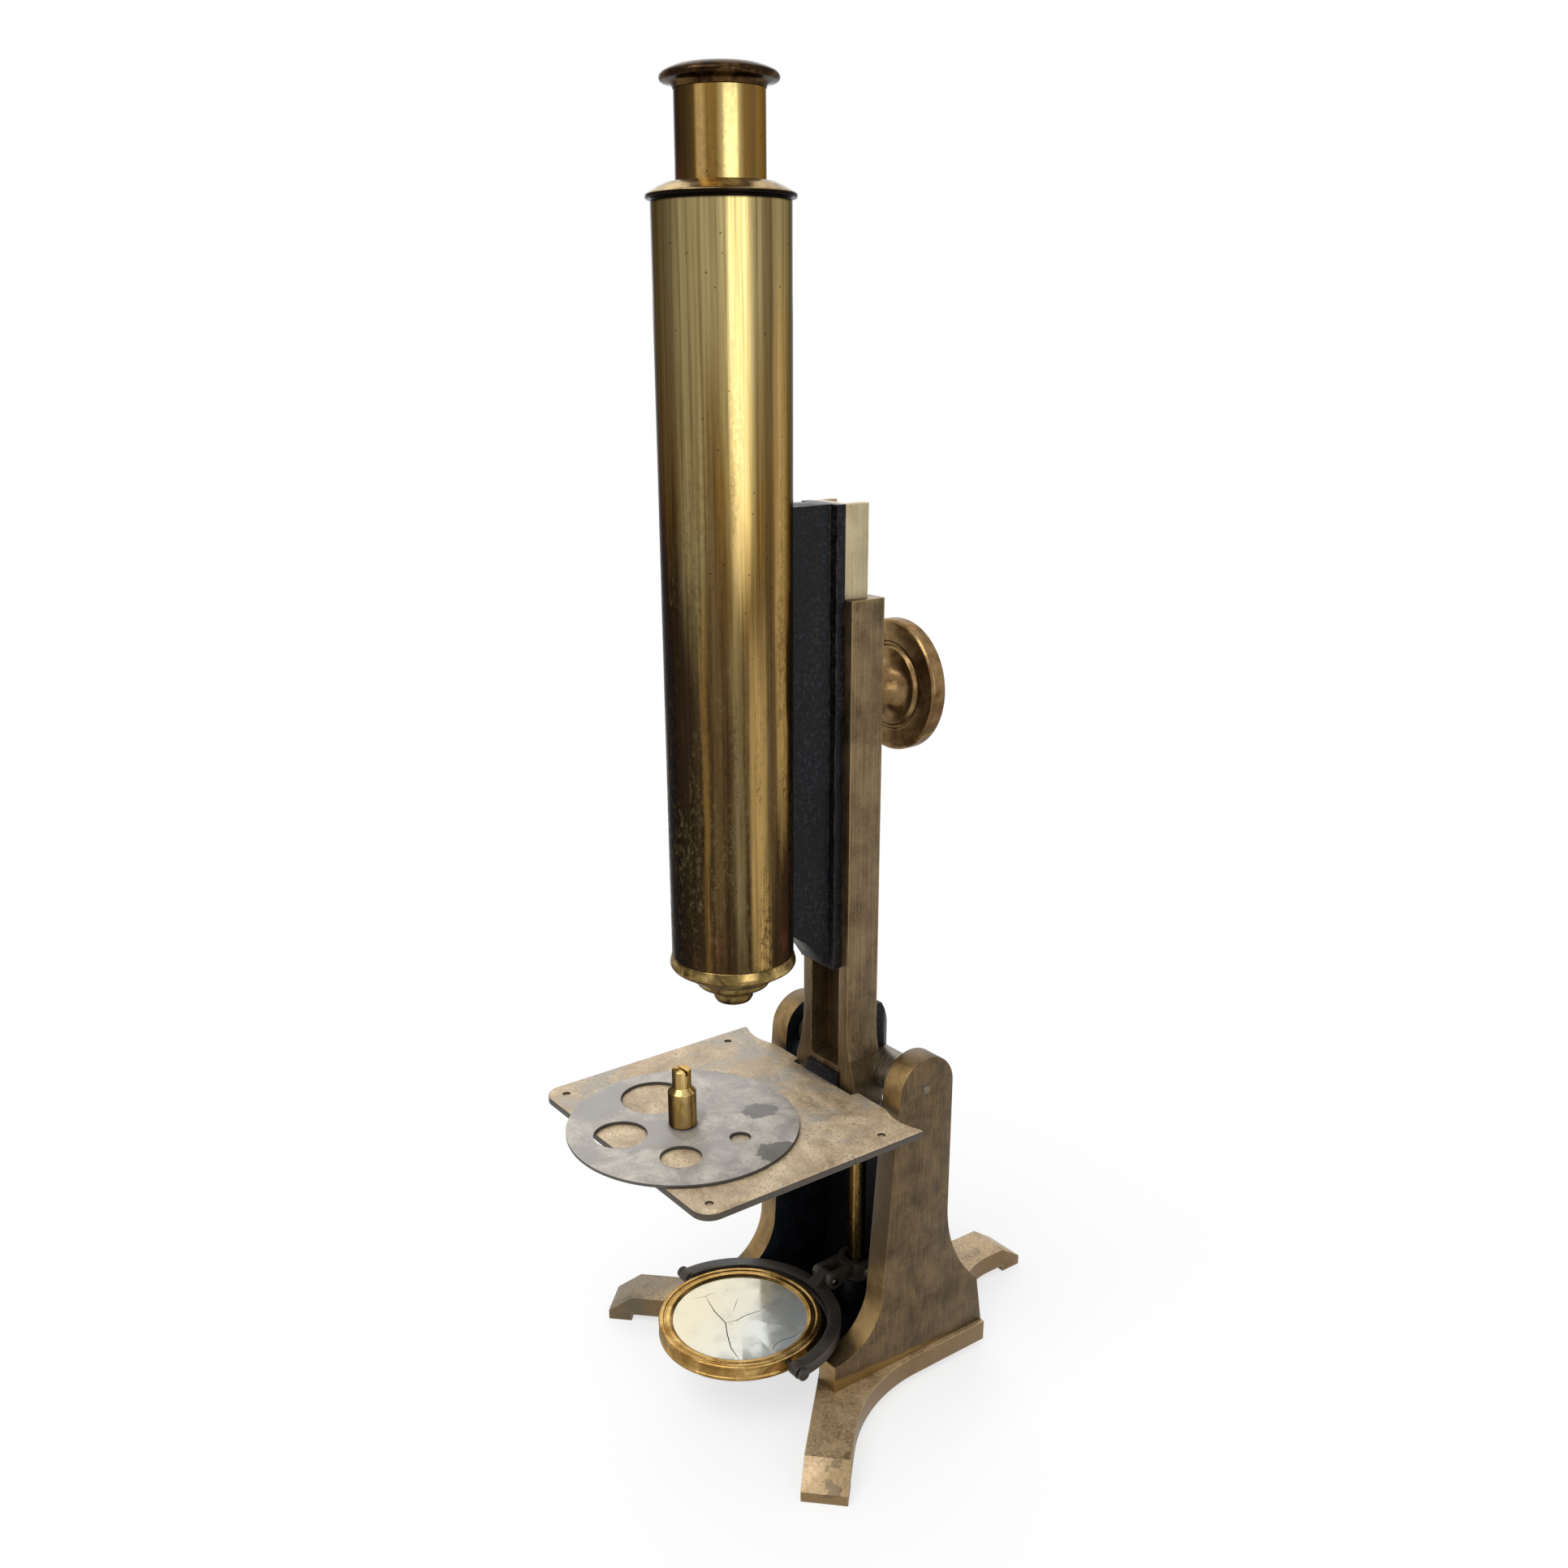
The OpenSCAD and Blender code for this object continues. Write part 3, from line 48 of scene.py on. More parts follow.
MM = 0.001
AXIS_Y = -35.75
POST_Y = AXIS_Y - 20.4
ROD_Y = AXIS_Y + 52.3
TINY = 1e-6
MERGE_GAP = 0.004
FLAT_DEGREES = 0.6
EDGE_DEGREES = 28
VIEW_TINT = "8a7450"
PALE = (0.9, 0.9, 0.9, 1.0)

Point = tuple[float, float]
Triple = tuple[float, float, float]
Colour = tuple[float, float, float, float]
Socket = bpy.types.NodeSocket
Material = bpy.types.Material
Thing = bpy.types.Object


class Slot(Enum):
    """Material slots of the record, named for each new piece but not given to it."""

    AGED = "aged_brass"
    TUBE = "tube_brass"
    BRIGHT = "bright_brass"
    STAGE = "stage_brass"
    DISC = "disc_metal"
    BLACK = "black_lacquer"
    BRONZE = "dark_bronze"
    MIRROR = "mirror_glass"


class Turned(Enum):
    """Direction of the axis that a turned piece is turned round."""

    UP = "z"
    BACK = "y"


def tint(colour: Union[str, Enum]) -> Colour:
    """Turns a screen colour into the linear colour that a shader takes.

    Args:
        colour: Six hexadecimal digits, or an option that stands for them.

    Returns:
        Linear red, green and blue with full alpha.
    """
    code = colour.value if isinstance(colour, Enum) else colour
    out = []
    for i in (0, 2, 4):
        c = int(code[i : i + 2], 16) / 255
        out.append(c / 12.92 if c <= 0.04045 else ((c + 0.055) / 1.055) ** 2.4)
    return (*out, 1.0)


@dataclass(frozen=True)
class Field:
    """A value over the surface, which adds and multiplies like a number."""

    nodes: "Nodes"
    socket: Socket

    def __add__(self, other: "Term") -> "Field":
        """Adds another value."""
        return self.nodes.reckon("ADD", self, other)

    def __sub__(self, other: "Term") -> "Field":
        """Takes another value away."""
        return self.nodes.reckon("SUBTRACT", self, other)

    def __mul__(self, other: "Term") -> "Field":
        """Multiplies by another value."""
        return self.nodes.reckon("MULTIPLY", self, other)

    def __abs__(self) -> "Field":
        """Drops the sign."""
        return self.nodes.reckon("ABSOLUTE", self, 0)

    def span(self, low: float, high: float, to_low: float = 0, to_high: float = 1) -> "Field":
        """Maps low to high smoothly onto another range, and keeps the ends.

        Args:
            low: Start of the range.
            high: End of the range.
            to_low: Result at the start.
            to_high: Result at the end.

        Returns:
            The mapped value.
        """
        node = self.nodes.add("ShaderNodeMapRange", interpolation_type="SMOOTHSTEP")
        self.nodes.join(self, node.inputs["Value"])
        for name, number in (("From Min", low), ("From Max", high), ("To Min", to_low), ("To Max", to_high)):
            node.inputs[name].default_value = number
        return Field(self.nodes, node.outputs["Result"])


Term = Union[Field, float]


class Nodes:
    """Short calls that add and join the nodes of one tree."""

    def __init__(self, tree: bpy.types.NodeTree) -> None:
        """Keeps the tree."""
        self.tree = tree

    def add(self, kind: str, **settings: object) -> bpy.types.Node:
        """Adds a node and sets its properties.

        Args:
            kind: Type of the node.
            settings: Properties by name.

        Returns:
            The node.
        """
        node = self.tree.nodes.new(kind)
        for key, value in settings.items():
            setattr(node, key, value)
        return node

    def join(self, source: object, target: Socket) -> None:
        """Links a value or a socket to an input, or sets the input.

        Args:
            source: A value or socket to link, or else a screen colour or plain value to set.
            target: The input.
        """
        if isinstance(source, Field):
            source = source.socket
        if isinstance(source, Socket):
            self.tree.links.new(source, target)
        else:
            target.default_value = tint(source) if isinstance(source, (str, Enum)) else source

    def reckon(self, kind: str, a: Term, b: Term) -> Field:
        """Works out one value from two.

        Args:
            kind: Name of the operation.
            a: First value.
            b: Second value.

        Returns:
            The result.
        """
        node = self.add("ShaderNodeMath", operation=kind)
        self.join(a, node.inputs[0])
        self.join(b, node.inputs[1])
        return Field(self, node.outputs[0])

    def seen(self) -> Field:
        """Tells the rays that see a surface from those that only light it.

        Returns:
            Value 1 for camera, glossy and transmission rays.
        """
        path = self.add("ShaderNodeLightPath").outputs
        total = Field(self, path["Is Camera Ray"])
        for name in ("Is Glossy Ray", "Is Transmission Ray"):
            total = self.reckon("MAXIMUM", total, Field(self, path[name]))
        return total


class Shade(Nodes):
    """Nodes of one new material, round a principled shader, with the colour laid so far."""

    def __init__(self, name: str) -> None:
        """Makes the material with its output, shader and coordinates.

        Args:
            name: Name of the material.
        """
        self.material = bpy.data.materials.new(name)
        self.material.use_nodes = True
        super().__init__(self.material.node_tree)
        self.tree.nodes.clear()
        self.out = self.add("ShaderNodeOutputMaterial")
        self.metal = self.add("ShaderNodeBsdfPrincipled")
        self.join(self.metal.outputs[0], self.out.inputs["Surface"])
        coordinates = self.add("ShaderNodeTexCoord").outputs
        self.where, self.normal = coordinates["Object"], coordinates["Normal"]
        self.colour: object = PALE

    def parted(self, vector: Socket) -> tuple[Field, ...]:
        """Splits a vector.

        Args:
            vector: The vector's socket.

        Returns:
            Its three parts.
        """
        node = self.add("ShaderNodeSeparateXYZ")
        self.join(vector, node.inputs[0])
        return tuple(Field(self, part) for part in node.outputs)

    def measure(self, kind: str, a: Socket, b: Union[Socket, Triple]) -> Field:
        """Works out one value from two vectors.

        Args:
            kind: Name of the operation.
            a: First vector.
            b: Second vector.

        Returns:
            The result.
        """
        node = self.add("ShaderNodeVectorMath", operation=kind)
        self.join(a, node.inputs[0])
        self.join(b, node.inputs[1])
        return Field(self, node.outputs["Value"])

    def noise(self, scale: float, detail: float = 4, rough: float = 0.55, distort: float = 0,
              stretch: Optional[Triple] = None, turn: Triple = (0, 0, 0)) -> Field:
        """Lays soft noise over the object coordinates.

        Args:
            scale: Number of waves in a metre.
            detail: Number of finer layers.
            rough: Share of each finer layer.
            distort: Amount of warping.
            stretch: Further scale along each axis.
            turn: Angles of the stretched noise about each axis in degrees.

        Returns:
            The noise, from 0 to 1.
        """
        vector = self.where
        if stretch:
            mapping = self.add("ShaderNodeMapping")
            self.join(vector, mapping.inputs["Vector"])
            mapping.inputs["Scale"].default_value = stretch
            mapping.inputs["Rotation"].default_value = [math.radians(a) for a in turn]
            vector = mapping.outputs[0]
        node = self.add("ShaderNodeTexNoise")
        self.join(vector, node.inputs["Vector"])
        values = {"Scale": scale, "Detail": detail, "Roughness": rough, "Distortion": distort}
        for name, number in values.items():
            node.inputs[name].default_value = number
        return Field(self, node.outputs["Fac"])

    def cells(self, scale: float) -> Field:
        """Measures the distance to the nearest of many random points.

        Args:
            scale: Number of points along a metre.

        Returns:
            The distance as a share of a cell.
        """
        node = self.add("ShaderNodeTexVoronoi")
        self.join(self.where, node.inputs["Vector"])
        node.inputs["Scale"].default_value = scale
        return Field(self, node.outputs["Distance"])

    def ramp(self, value: Field, *stops: tuple[float, Union[str, Enum]]) -> Socket:
        """Runs through colours as a value rises.

        Args:
            value: The value.
            stops: Values and the screen colours there, two or more.

        Returns:
            The colour.
        """
        node = self.add("ShaderNodeValToRGB")
        elements = node.color_ramp.elements
        while len(elements) < len(stops):
            elements.new(0.5)
        for element, (place, colour) in zip(elements, stops):
            element.position = place
            element.color = tint(colour)
        self.join(value, node.inputs["Fac"])
        return node.outputs["Color"]

    def coat(self, amount: Term, colour: Union[Socket, str, Enum], kind: str = "MIX") -> None:
        """Lays a new colour over the one so far.

        Args:
            amount: Share of the new colour.
            colour: The new colour.
            kind: Name of the mixing rule.
        """
        node = self.add("ShaderNodeMix", data_type="RGBA", blend_type=kind)
        self.join(amount, node.inputs[0])
        self.join(self.colour, node.inputs[6])
        self.join(colour, node.inputs[7])
        self.colour = node.outputs[2]

    def worn_edges(self, reach: float) -> Field:
        """Finds the outer edges, where hands rub.

        Args:
            reach: Width of the worn band in metres.

        Returns:
            Value near 1 along edges and 0 on flat faces.
        """
        bevel = self.add("ShaderNodeBevel", samples=4)
        bevel.inputs["Radius"].default_value = reach
        plain = self.add("ShaderNodeNewGeometry").outputs["Normal"]
        return self.measure("DOT_PRODUCT", bevel.outputs[0], plain).span(0.995, 0.86)

    def crease(self, reach: float) -> Field:
        """Finds the corners, where shade falls.

        Args:
            reach: Greatest distance to another face in metres.

        Returns:
            Value from 0 in a deep corner to 1 on a free face.
        """
        node = self.add("ShaderNodeAmbientOcclusion", samples=6)
        node.inputs["Distance"].default_value = reach
        return Field(self, node.outputs["AO"])

    def bump(self, height: Field, depth: float) -> None:
        """Roughens the surface.

        Args:
            height: Height of the surface, from 0 to 1.
            depth: What 1 stands for in metres.
        """
        node = self.add("ShaderNodeBump")
        node.inputs["Strength"].default_value = 1.0
        node.inputs["Distance"].default_value = depth
        self.join(height, node.inputs["Height"])
        self.join(node.outputs[0], self.metal.inputs["Normal"])

    def finish(self, rough: Term, metallic: float, **constants: float) -> Material:
        """Connects the shader.

        Args:
            rough: Roughness.
            metallic: Share of metal.
            constants: Further inputs of the shader that are the same all over.

        Returns:
            The finished material.
        """
        self.join(self.colour, self.metal.inputs["Base Color"])
        self.join(rough, self.metal.inputs["Roughness"])
        self.metal.inputs["Metallic"].default_value = metallic
        for name, number in constants.items():
            socket = self.metal.inputs[name.replace("_", " ").title().replace("Ior", "IOR")]
            socket.default_value = (number, number, number, 1) if socket.type == "RGBA" else number
        self.material.diffuse_color = tint(VIEW_TINT)
        return self.material


@dataclass(frozen=True)
class Brushed:
    """Brass under a brown patina, rubbed in one direction, with paler worn edges.

    The last eight sizes are in metres, each where a soft edge starts and where it ends.
    """

    name: str
    dark: str
    mid: str
    light: str
    edge: str
    grain: Triple = (2200, 2200, 70)
    grain_share: float = 0.35
    blotch: float = 70
    spots: float = 0.5
    rough: Point = (0.3, 0.5)
    metallic: float = 0.8
    edges: float = 1.0
    crease: float = 0.55
    crease_shade: str = "1d150b"
    depth: float = 0.00005
    # Colour of painted light on a pillar's front faces, at foot and shoulder.
    front: Optional[str] = None
    # Colour of painted shade on the faces that do not face up or down.
    side: Optional[str] = None
    hem: Optional[str] = None
    japanned: bool = False
    japan: tuple[str, str, str] = ("16181e", "242831", "363b45")
    japan_rough: float = 0.45
    toes: bool = False
    near_toe_shade: str = "80693f"
    toe_spots: str = "4c3f2e"
    toe_film: str = "544c39"
    verdigris: str = "6f8068"
    near_toe: Point = (0.056, 0.06)
    far_toe: Point = (-0.038, -0.046)
    far_tip: Point = (-0.055, -0.062)
    toe_rim: Point = (0.006, 0.003)
    paint_side: Point = (0.0263, 0.0261)
    paint_front: Point = (-0.0275, -0.026)
    paint_back: Point = (0.05, 0.048)
    paint_foot: Point = (0.0092, 0.0097)

    def build(self) -> Material:
        """Makes the material.

        Returns:
            The material.
        """
        s = Shade(self.name)
        grain = s.noise(1, 4, 0.6, stretch=self.grain)
        cloud = s.noise(self.blotch, 6, 0.62, 0.3)
        fine = s.noise(self.blotch * 16, 4, 0.7)
        tone = grain * self.grain_share + cloud * (0.8 - self.grain_share) + fine * 0.2
        s.colour = s.ramp(tone, (0.4, self.dark), (0.5, self.mid), (0.61, self.light))
        s.coat((fine + cloud * 0.5).span(0.84, 0.94, 0, self.spots), self.dark)
        # Painted shade in the creases.
        s.coat(s.crease(0.006).span(0.8, 0.35, 0, self.crease), self.crease_shade)
        # Painted shade on the faces that do not face up or down.
        if self.side:
            flat = abs(s.parted(s.normal)[2])
            s.coat(flat.span(0.5, 0.3, 0, 0.85), self.side)
        if self.front:
            self.paint_front_shadow_and_light(s, cloud)
        if self.hem:
            _, y, z = s.parted(s.where)
            line = z + (y * 0.08 + cloud * 0.004)
            s.coat(line.span(0.016, 0.014, 0, 0.8), self.hem)
        wear = s.worn_edges(0.0009) * s.noise(240, 3).span(0.3, 0.6, 0.35, 1) * self.edges
        s.coat(wear, self.edge)
        if self.toes:
            self.shade_and_stain_toes(s, fine)
        rough = (tone + wear * -0.3).span(0.2, 0.7, *self.rough)
        if self.japanned:
            rough = self.paint_inside(s, rough)
        s.bump(grain + fine * 0.6, self.depth)
        return s.finish(rough, self.metallic)

    def paint_front_shadow_and_light(self, s: Shade, cloud: Field) -> None:
        """Paints the stage's shadow on the front faces of a pillar, and painted light on them at foot and
        shoulder.

        Args:
            s: The material under work.
            cloud: Broad noise that breaks up the painted light.
        """
        height = s.parted(s.where)[2]
        ahead = s.parted(s.normal)[1].span(-0.3, -0.7, 0, 0.7)
        lit = (height.span(0.06, 0.035) + height.span(0.1, 0.115)) * cloud.span(0.35, 0.6, 0.5, 1.0)
        # Painted shadow of the stage on the front faces, then painted light at foot and shoulder.
        s.coat(ahead, self.dark)
        s.coat(lit * ahead, self.front)

    def shade_and_stain_toes(self, s: Shade, fine: Field) -> None:
        """Paints shade on the near front toe and lays dark spots on it, and a grey and green film on the far
        one.

        Args:
            s: The material under work.
            fine: Fine noise that frays the film's edge.
        """
        x, _, z = s.parted(s.where)
        near = x.span(*self.near_toe)
        spots = s.noise(290, 3, 0.5, 0.1).span(0.54, 0.6)
        # Painted shade on the near toe.
        s.coat(near * 0.5, self.near_toe_shade)
        s.coat(spots * near * 0.6, self.toe_spots)
        far = (x + fine * 0.01).span(*self.far_toe)
        film = s.noise(110, 5, 0.65).span(0.4, 0.62, 0.6, 0.95)
        s.coat(film * far, self.toe_film)
        green = s.noise(300, 4).span(0.54, 0.62) * x.span(*self.far_tip)
        s.coat(green * z.span(*self.toe_rim, 0, 0.7), self.verdigris)

    def paint_inside(self, s: Shade, rough: Field) -> Field:
        """Paints the faces between the pillars black.

        Args:
            s: The material under work.
            rough: Roughness of the bare metal.

        Returns:
            The new roughness.
        """
        x, y, z = s.parted(s.where)
        wobble = (s.noise(90, 4) - 0.5) * 0.004
        mask = (abs(x) + wobble * 0.12).span(*self.paint_side) * z.span(*self.paint_foot)
        mask = mask * ((y + wobble).span(*self.paint_front) * (y + wobble).span(*self.paint_back))
        mask = mask * s.noise(700, 4, 0.7).span(0.62, 0.68, 1, 0.5)
        s.coat(mask, s.ramp(s.noise(160, 5, 0.6), *zip((0.35, 0.6, 0.8), self.japan)))
        return rough + (rough * -1 + self.japan_rough) * mask


class Tone(Enum):
    """Tones of old lacquered brass, from the deepest painted shade to the brightest painted highlight."""

    DEEP_SHADE = "1e160c"
    UMBER = "3c2c18"
    BROWN = "5f4a2c"
    HONEY = "80622f"
    OLIVE = "9a8a60"
    GOLD = "b5965c"
    STRAW = "dcc98a"


@dataclass(frozen=True)
class Streak:
    """One band of painted reflection on a tube, bright for a highlight and dark for shade: its angle from the
    front, half width, tone, ends, strength and fading.
    """

    angle: float
    half: float
    tone: Tone
    low: float = 0
    high: float = 500
    share: float = 0.8
    fading: float = 22

    def mask(self, turn: Field, height: Field) -> Field:
        """Works out where the streak lies.

        Args:
            turn: Angle round the tube in degrees.
            height: Height in metres.

        Returns:
            Strength of the streak.
        """
        side = abs(turn - self.angle).span(self.half * 1.5, self.half * 0.5, 0, self.share)
        rise = height.span((self.low - self.fading) * MM, (self.low + self.fading) * MM)
        fall = height.span((self.high + self.fading) * MM, (self.high - self.fading) * MM)
        return side * (rise * fall)


@dataclass(frozen=True)
class Banded:
    """Polished tube brass with bands of painted reflection and shade from top to bottom, and mottled with
    age.
    """

    name: str
    ground: tuple[Tone, ...]
    streaks: tuple[Streak, ...]
    axis_y: float = AXIS_Y
    drift: float = 11
    ragged: float = 60
    ground_ends: Point = (165, 440)
    mottle: float = 0.85
    brown: str = "33241a"
    film: str = "7d7150"
    blush: str = "6b4231"
    specks: str = "2a1d0e"
    wash: float = 0.65
    wash_tones: tuple[str, str, str] = ("8a7860", "e2dac8", "ffffff")
    fade: Triple = (160, 380, 0.0)
    rough: Point = (0.12, 0.36)
    metallic: float = 0.92
    depth: float = 0.000015
    shadow_line: Optional[float] = None
    shadow_colour: str = "0d0905"

    def build(self) -> Material:
        """Makes the material.

        Returns:
            The material.
        """
        s = Shade(self.name)
        x, y, z = s.parted(s.where)
        low, high, least = self.fade
        age = z.span(high * MM, low * MM, least, 1.0)
        wander = s.noise(1, 4, 0.6, stretch=(40, 40, 12)) - 0.5
        fray = s.noise(1, 4, 0.7, stretch=(700, 700, 11)) - 0.5
        shift = (wander + fray * 0.7) * (age + 0.25)
        around = s.reckon("ARCTAN2", x, (y - self.axis_y * MM) * -1)
        turn = around * (180 / math.pi) + shift * self.drift
        height = z + (s.noise(1, 4, 0.65, stretch=(150, 150, 12)) - 0.5) * (self.ragged * MM)
        # On the body tube the ground tones get darker towards the bottom, a painted reflection of the dark
        # surroundings below.
        rise = height.span(*(end * MM for end in self.ground_ends))
        last = len(self.ground) - 1
        s.colour = s.ramp(rise, *((i / last, tone) for i, tone in enumerate(self.ground)))
        # Bands of painted reflection and shade round the tube.
        for streak in self.streaks:
            s.coat(streak.mask(turn, height), streak.tone)
        lines = s.noise(1, 5, 0.7, stretch=(900, 900, 9))
        s.coat(self.wash, s.ramp(lines, *zip((0.36, 0.49, 0.6), self.wash_tones)), "MULTIPLY")
        stain = self.stain(s, age)
        # Painted shadow under the top ring.
        if self.shadow_line:
            line = z.span((self.shadow_line - 0.9) * MM, (self.shadow_line - 0.2) * MM)
            s.coat(line, self.shadow_colour)
        s.bump(stain + lines * 0.6, self.depth)
        return s.finish((stain + lines).span(0.3, 1.0, *self.rough), self.metallic, specular_tint=0.35)

    def stain(self, s: Shade, age: Field) -> Field:
        """Mottles the brass with brown stains, sage film, blush and dark specks.

        Args:
            s: The material under work.
            age: Share of ageing, from 0 at the clean end to 1.

        Returns:
            Strength of the brown stains.
        """
        grain = s.noise(800, 6, 0.8, 0.2, stretch=(1, 1, 0.6))
        field = s.noise(85, 5, 0.65, 0.5, stretch=(1, 1, 0.16))
        stain = grain.span(0.44, 0.6) * field.span(0.42, 0.56) * (age * self.mottle)
        s.coat(stain, self.brown)
        film = grain.span(0.47, 0.66) * field.span(0.53, 0.43) * (age * (self.mottle * 0.5))
        s.coat(film, self.film)
        blush = s.noise(42, 4, 0.6, 0.4, stretch=(1, 1, 0.3)).span(0.55, 0.66, 0, 0.45)
        s.coat(blush * age, self.blush)
        s.coat(s.cells(240).span(0.085, 0.055) * 0.7, self.specks)
        return stain


@dataclass(frozen=True)
class Lathed:
    """Turned and polished brass with fine rings of tarnish."""

    name: str
    dark: str
    mid: str
    light: str
    grain: Triple = (60, 60, 900)
    spots: float = 0.45
    rough: Point = (0.14, 0.34)
    metallic: float = 0.9
    crease: float = 0.002
    crease_shade: str = "1f1408"
    depth: float = 0.00002
    # Height under which painted shade lies beneath a ring's lip, and the colour of that shade.
    below: Optional[float] = None
    groove: str = "120b05"

    def build(self) -> Material:
        """Makes the material.

        Returns:
            The material.
        """
        s = Shade(self.name)
        rings = s.noise(1, 4, 0.6, stretch=self.grain)
        cloud = s.noise(130, 5, 0.65, 0.5)
        fine = s.noise(1500, 4, 0.65)
        tone = rings * 0.3 + cloud * 0.7
        s.colour = s.ramp(tone, (0.38, self.dark), (0.5, self.mid), (0.63, self.light))
        stain = fine.span(0.52, 0.62) * cloud.span(0.5, 0.38)
        s.coat(stain * self.spots, self.dark)
        # Painted shade in the creases.
        s.coat(s.crease(self.crease).span(0.8, 0.3, 0, 0.8), self.crease_shade)
        s.coat(s.worn_edges(0.0004) * 0.5, self.light)
        # Painted shade under the ring's lip.
        if self.below:
            height = s.parted(s.where)[2]
            s.coat(height.span((self.below + 0.15) * MM, (self.below - 0.15) * MM), self.groove)
        s.bump(rings + fine * 0.4, self.depth)
        rough = (tone + stain * 0.3).span(0.3, 0.8, *self.rough)
        return s.finish(rough, self.metallic, specular_tint=0.5)


@dataclass(frozen=True)
class Tarnished:
    """Flat metal with pale oxide, grey clouds and a fine grain of specks."""

    name: str
    dark: str
    mid: str
    light: str
    cloud_colour: str
    # Colour of painted shade on the faces that do not face up.
    side: str = "463c2a"
    top: float = 107.5
    cloud_scale: float = 38
    rust: float = 0.0
    rust_colour: str = "6a5136"
    stains: tuple[Triple, ...] = ()
    stain_colour: str = "55524f"
    crease_shade: str = "2c251c"
    metallic: float = 0.35
    rough: Point = (0.4, 0.62)
    depth: float = 0.00006

    def build(self) -> Material:
        """Makes the material.

        Returns:
            The material.
        """
        s = Shade(self.name)
        fine = s.noise(1300, 5, 0.8)
        broad = s.noise(self.cloud_scale * 2.6, 6, 0.68, 0.5)
        tone = fine * 0.4 + broad * 0.6
        s.colour = s.ramp(tone, (0.38, self.dark), (0.49, self.mid), (0.6, self.light))
        clouds = s.noise(self.cloud_scale, 5, 0.66, 0.8).span(0.5, 0.6, 0, 0.8)
        s.coat(clouds, self.cloud_colour)
        flecks = s.noise(900, 4, 0.8).span(0.55, 0.63) * broad.span(0.44, 0.56)
        s.coat(flecks * self.rust, self.rust_colour)
        for x, y, radius in self.stains:
            gap = s.measure("DISTANCE", s.where, (x * MM, y * MM, (self.top + 1.2) * MM))
            edge = gap + s.noise(130, 5, 0.6) * 0.012
            inside = edge.span((radius + 6.6) * MM, (radius + 5.6) * MM, 0, 0.8)
            s.coat(inside, self.stain_colour)
        wear = s.worn_edges(0.0007) * s.noise(200, 4).span(0.35, 0.6)
        s.coat(wear * 0.35, self.light)
        # Painted shade on the faces that do not face up.
        upward = s.parted(s.normal)[2]
        s.coat(upward.span(0.75, 0.4, 0, 0.9), self.side)
        # Painted shade in the creases.
        s.coat(s.crease(0.003).span(0.85, 0.4, 0, 0.6), self.crease_shade)
        s.bump(fine, self.depth)
        return s.finish(tone.span(0.35, 0.65, *self.rough), self.metallic)


@dataclass(frozen=True)
class Lacquer:
    """Black satin lacquer with dust, light scratches and rubbed edges."""

    name: str
    base: str
    dust: str
    edge: str
    powder: str = "323138"
    scratch: str = "5a5650"
    rough: float = 0.36
    gloss: float = 0.2
    depth: float = 0.00005

    def build(self) -> Material:
        """Makes the material.

        Returns:
            The material.
        """
        s = Shade(self.name)
        broad = s.noise(55, 5, 0.6, 0.4)
        s.colour = s.ramp(broad, (0.35, self.base), (0.7, self.dust))
        powder = s.noise(760, 5, 0.85)
        dusty = powder.span(0.5, 0.6) * s.noise(70, 5, 0.7).span(0.35, 0.65, 0.35, 1.0)
        s.coat(dusty * 0.7, self.powder)
        scratch = s.noise(1, 2, stretch=(2600, 2600, 60), turn=(8, 14, 0)).span(0.73, 0.77, 0, 0.45)
        s.coat(scratch, self.scratch)
        wear = s.worn_edges(0.0006) * s.noise(210, 4).span(0.42, 0.62)
        s.coat(wear * 0.55, self.edge)
        s.bump(powder, self.depth)
        rough = broad.span(0.3, 0.7, self.rough, self.rough + 0.18)
        return s.finish(rough, 0.0, specular_ior_level=self.gloss)


@dataclass(frozen=True)
class Glass:
    """Clear old glass of a lens."""

    name: str = "clear_lens_glass"
    film: str = "dfe8ea"
    clear: str = "f4f6f2"

    def build(self) -> Material:
        """Makes the material.

        Returns:
            The material.
        """
        s = Shade(self.name)
        film = s.noise(260, 4, 0.6)
        s.colour = s.ramp(film, (0.3, self.film), (0.7, self.clear))
        return s.finish(film.span(0.3, 0.8, 0.02, 0.12), 0.0, transmission_weight=0.9, ior=1.5)


@dataclass(frozen=True)
class Silvered:
    """Back-silvered mirror glass, cloudy with age, with a painted reflection from cream at one side to
    blue-grey at the other.
    """

    name: str = "aged_mirror_silver"
    reflection_tones: tuple[str, str, str] = ("cfc4a4", "cdc9b6", "c6cccb")
    clouds: str = "b3ad99"
    specks: str = "8a7a55"

    def build(self) -> Material:
        """Makes the material.

        Returns:
            The material.
        """
        s = Shade(self.name)
        # Painted reflection that runs across the mirror from one side to the other.
        x, y, _ = s.parted(s.where)
        side = x * 0.8 + y * 0.5 + s.noise(45, 4) * 0.02
        s.colour = s.ramp(side.span(-0.028, 0.014), *zip((0, 0.5, 1), self.reflection_tones))
        clouds = s.noise(90, 5, 0.6, 0.7).span(0.5, 0.68, 0, 0.5)
        s.coat(clouds, self.clouds)
        specks = s.noise(420, 5, 0.7).span(0.6, 0.7) * s.noise(60, 3).span(0.5, 0.62)
        s.coat(specks * 0.6, self.specks)
        rough = s.noise(160, 4).span(0.3, 0.7, 0.1, 0.32)
        return s.finish(rough, 0.35, coat_weight=0.6, coat_roughness=0.04)


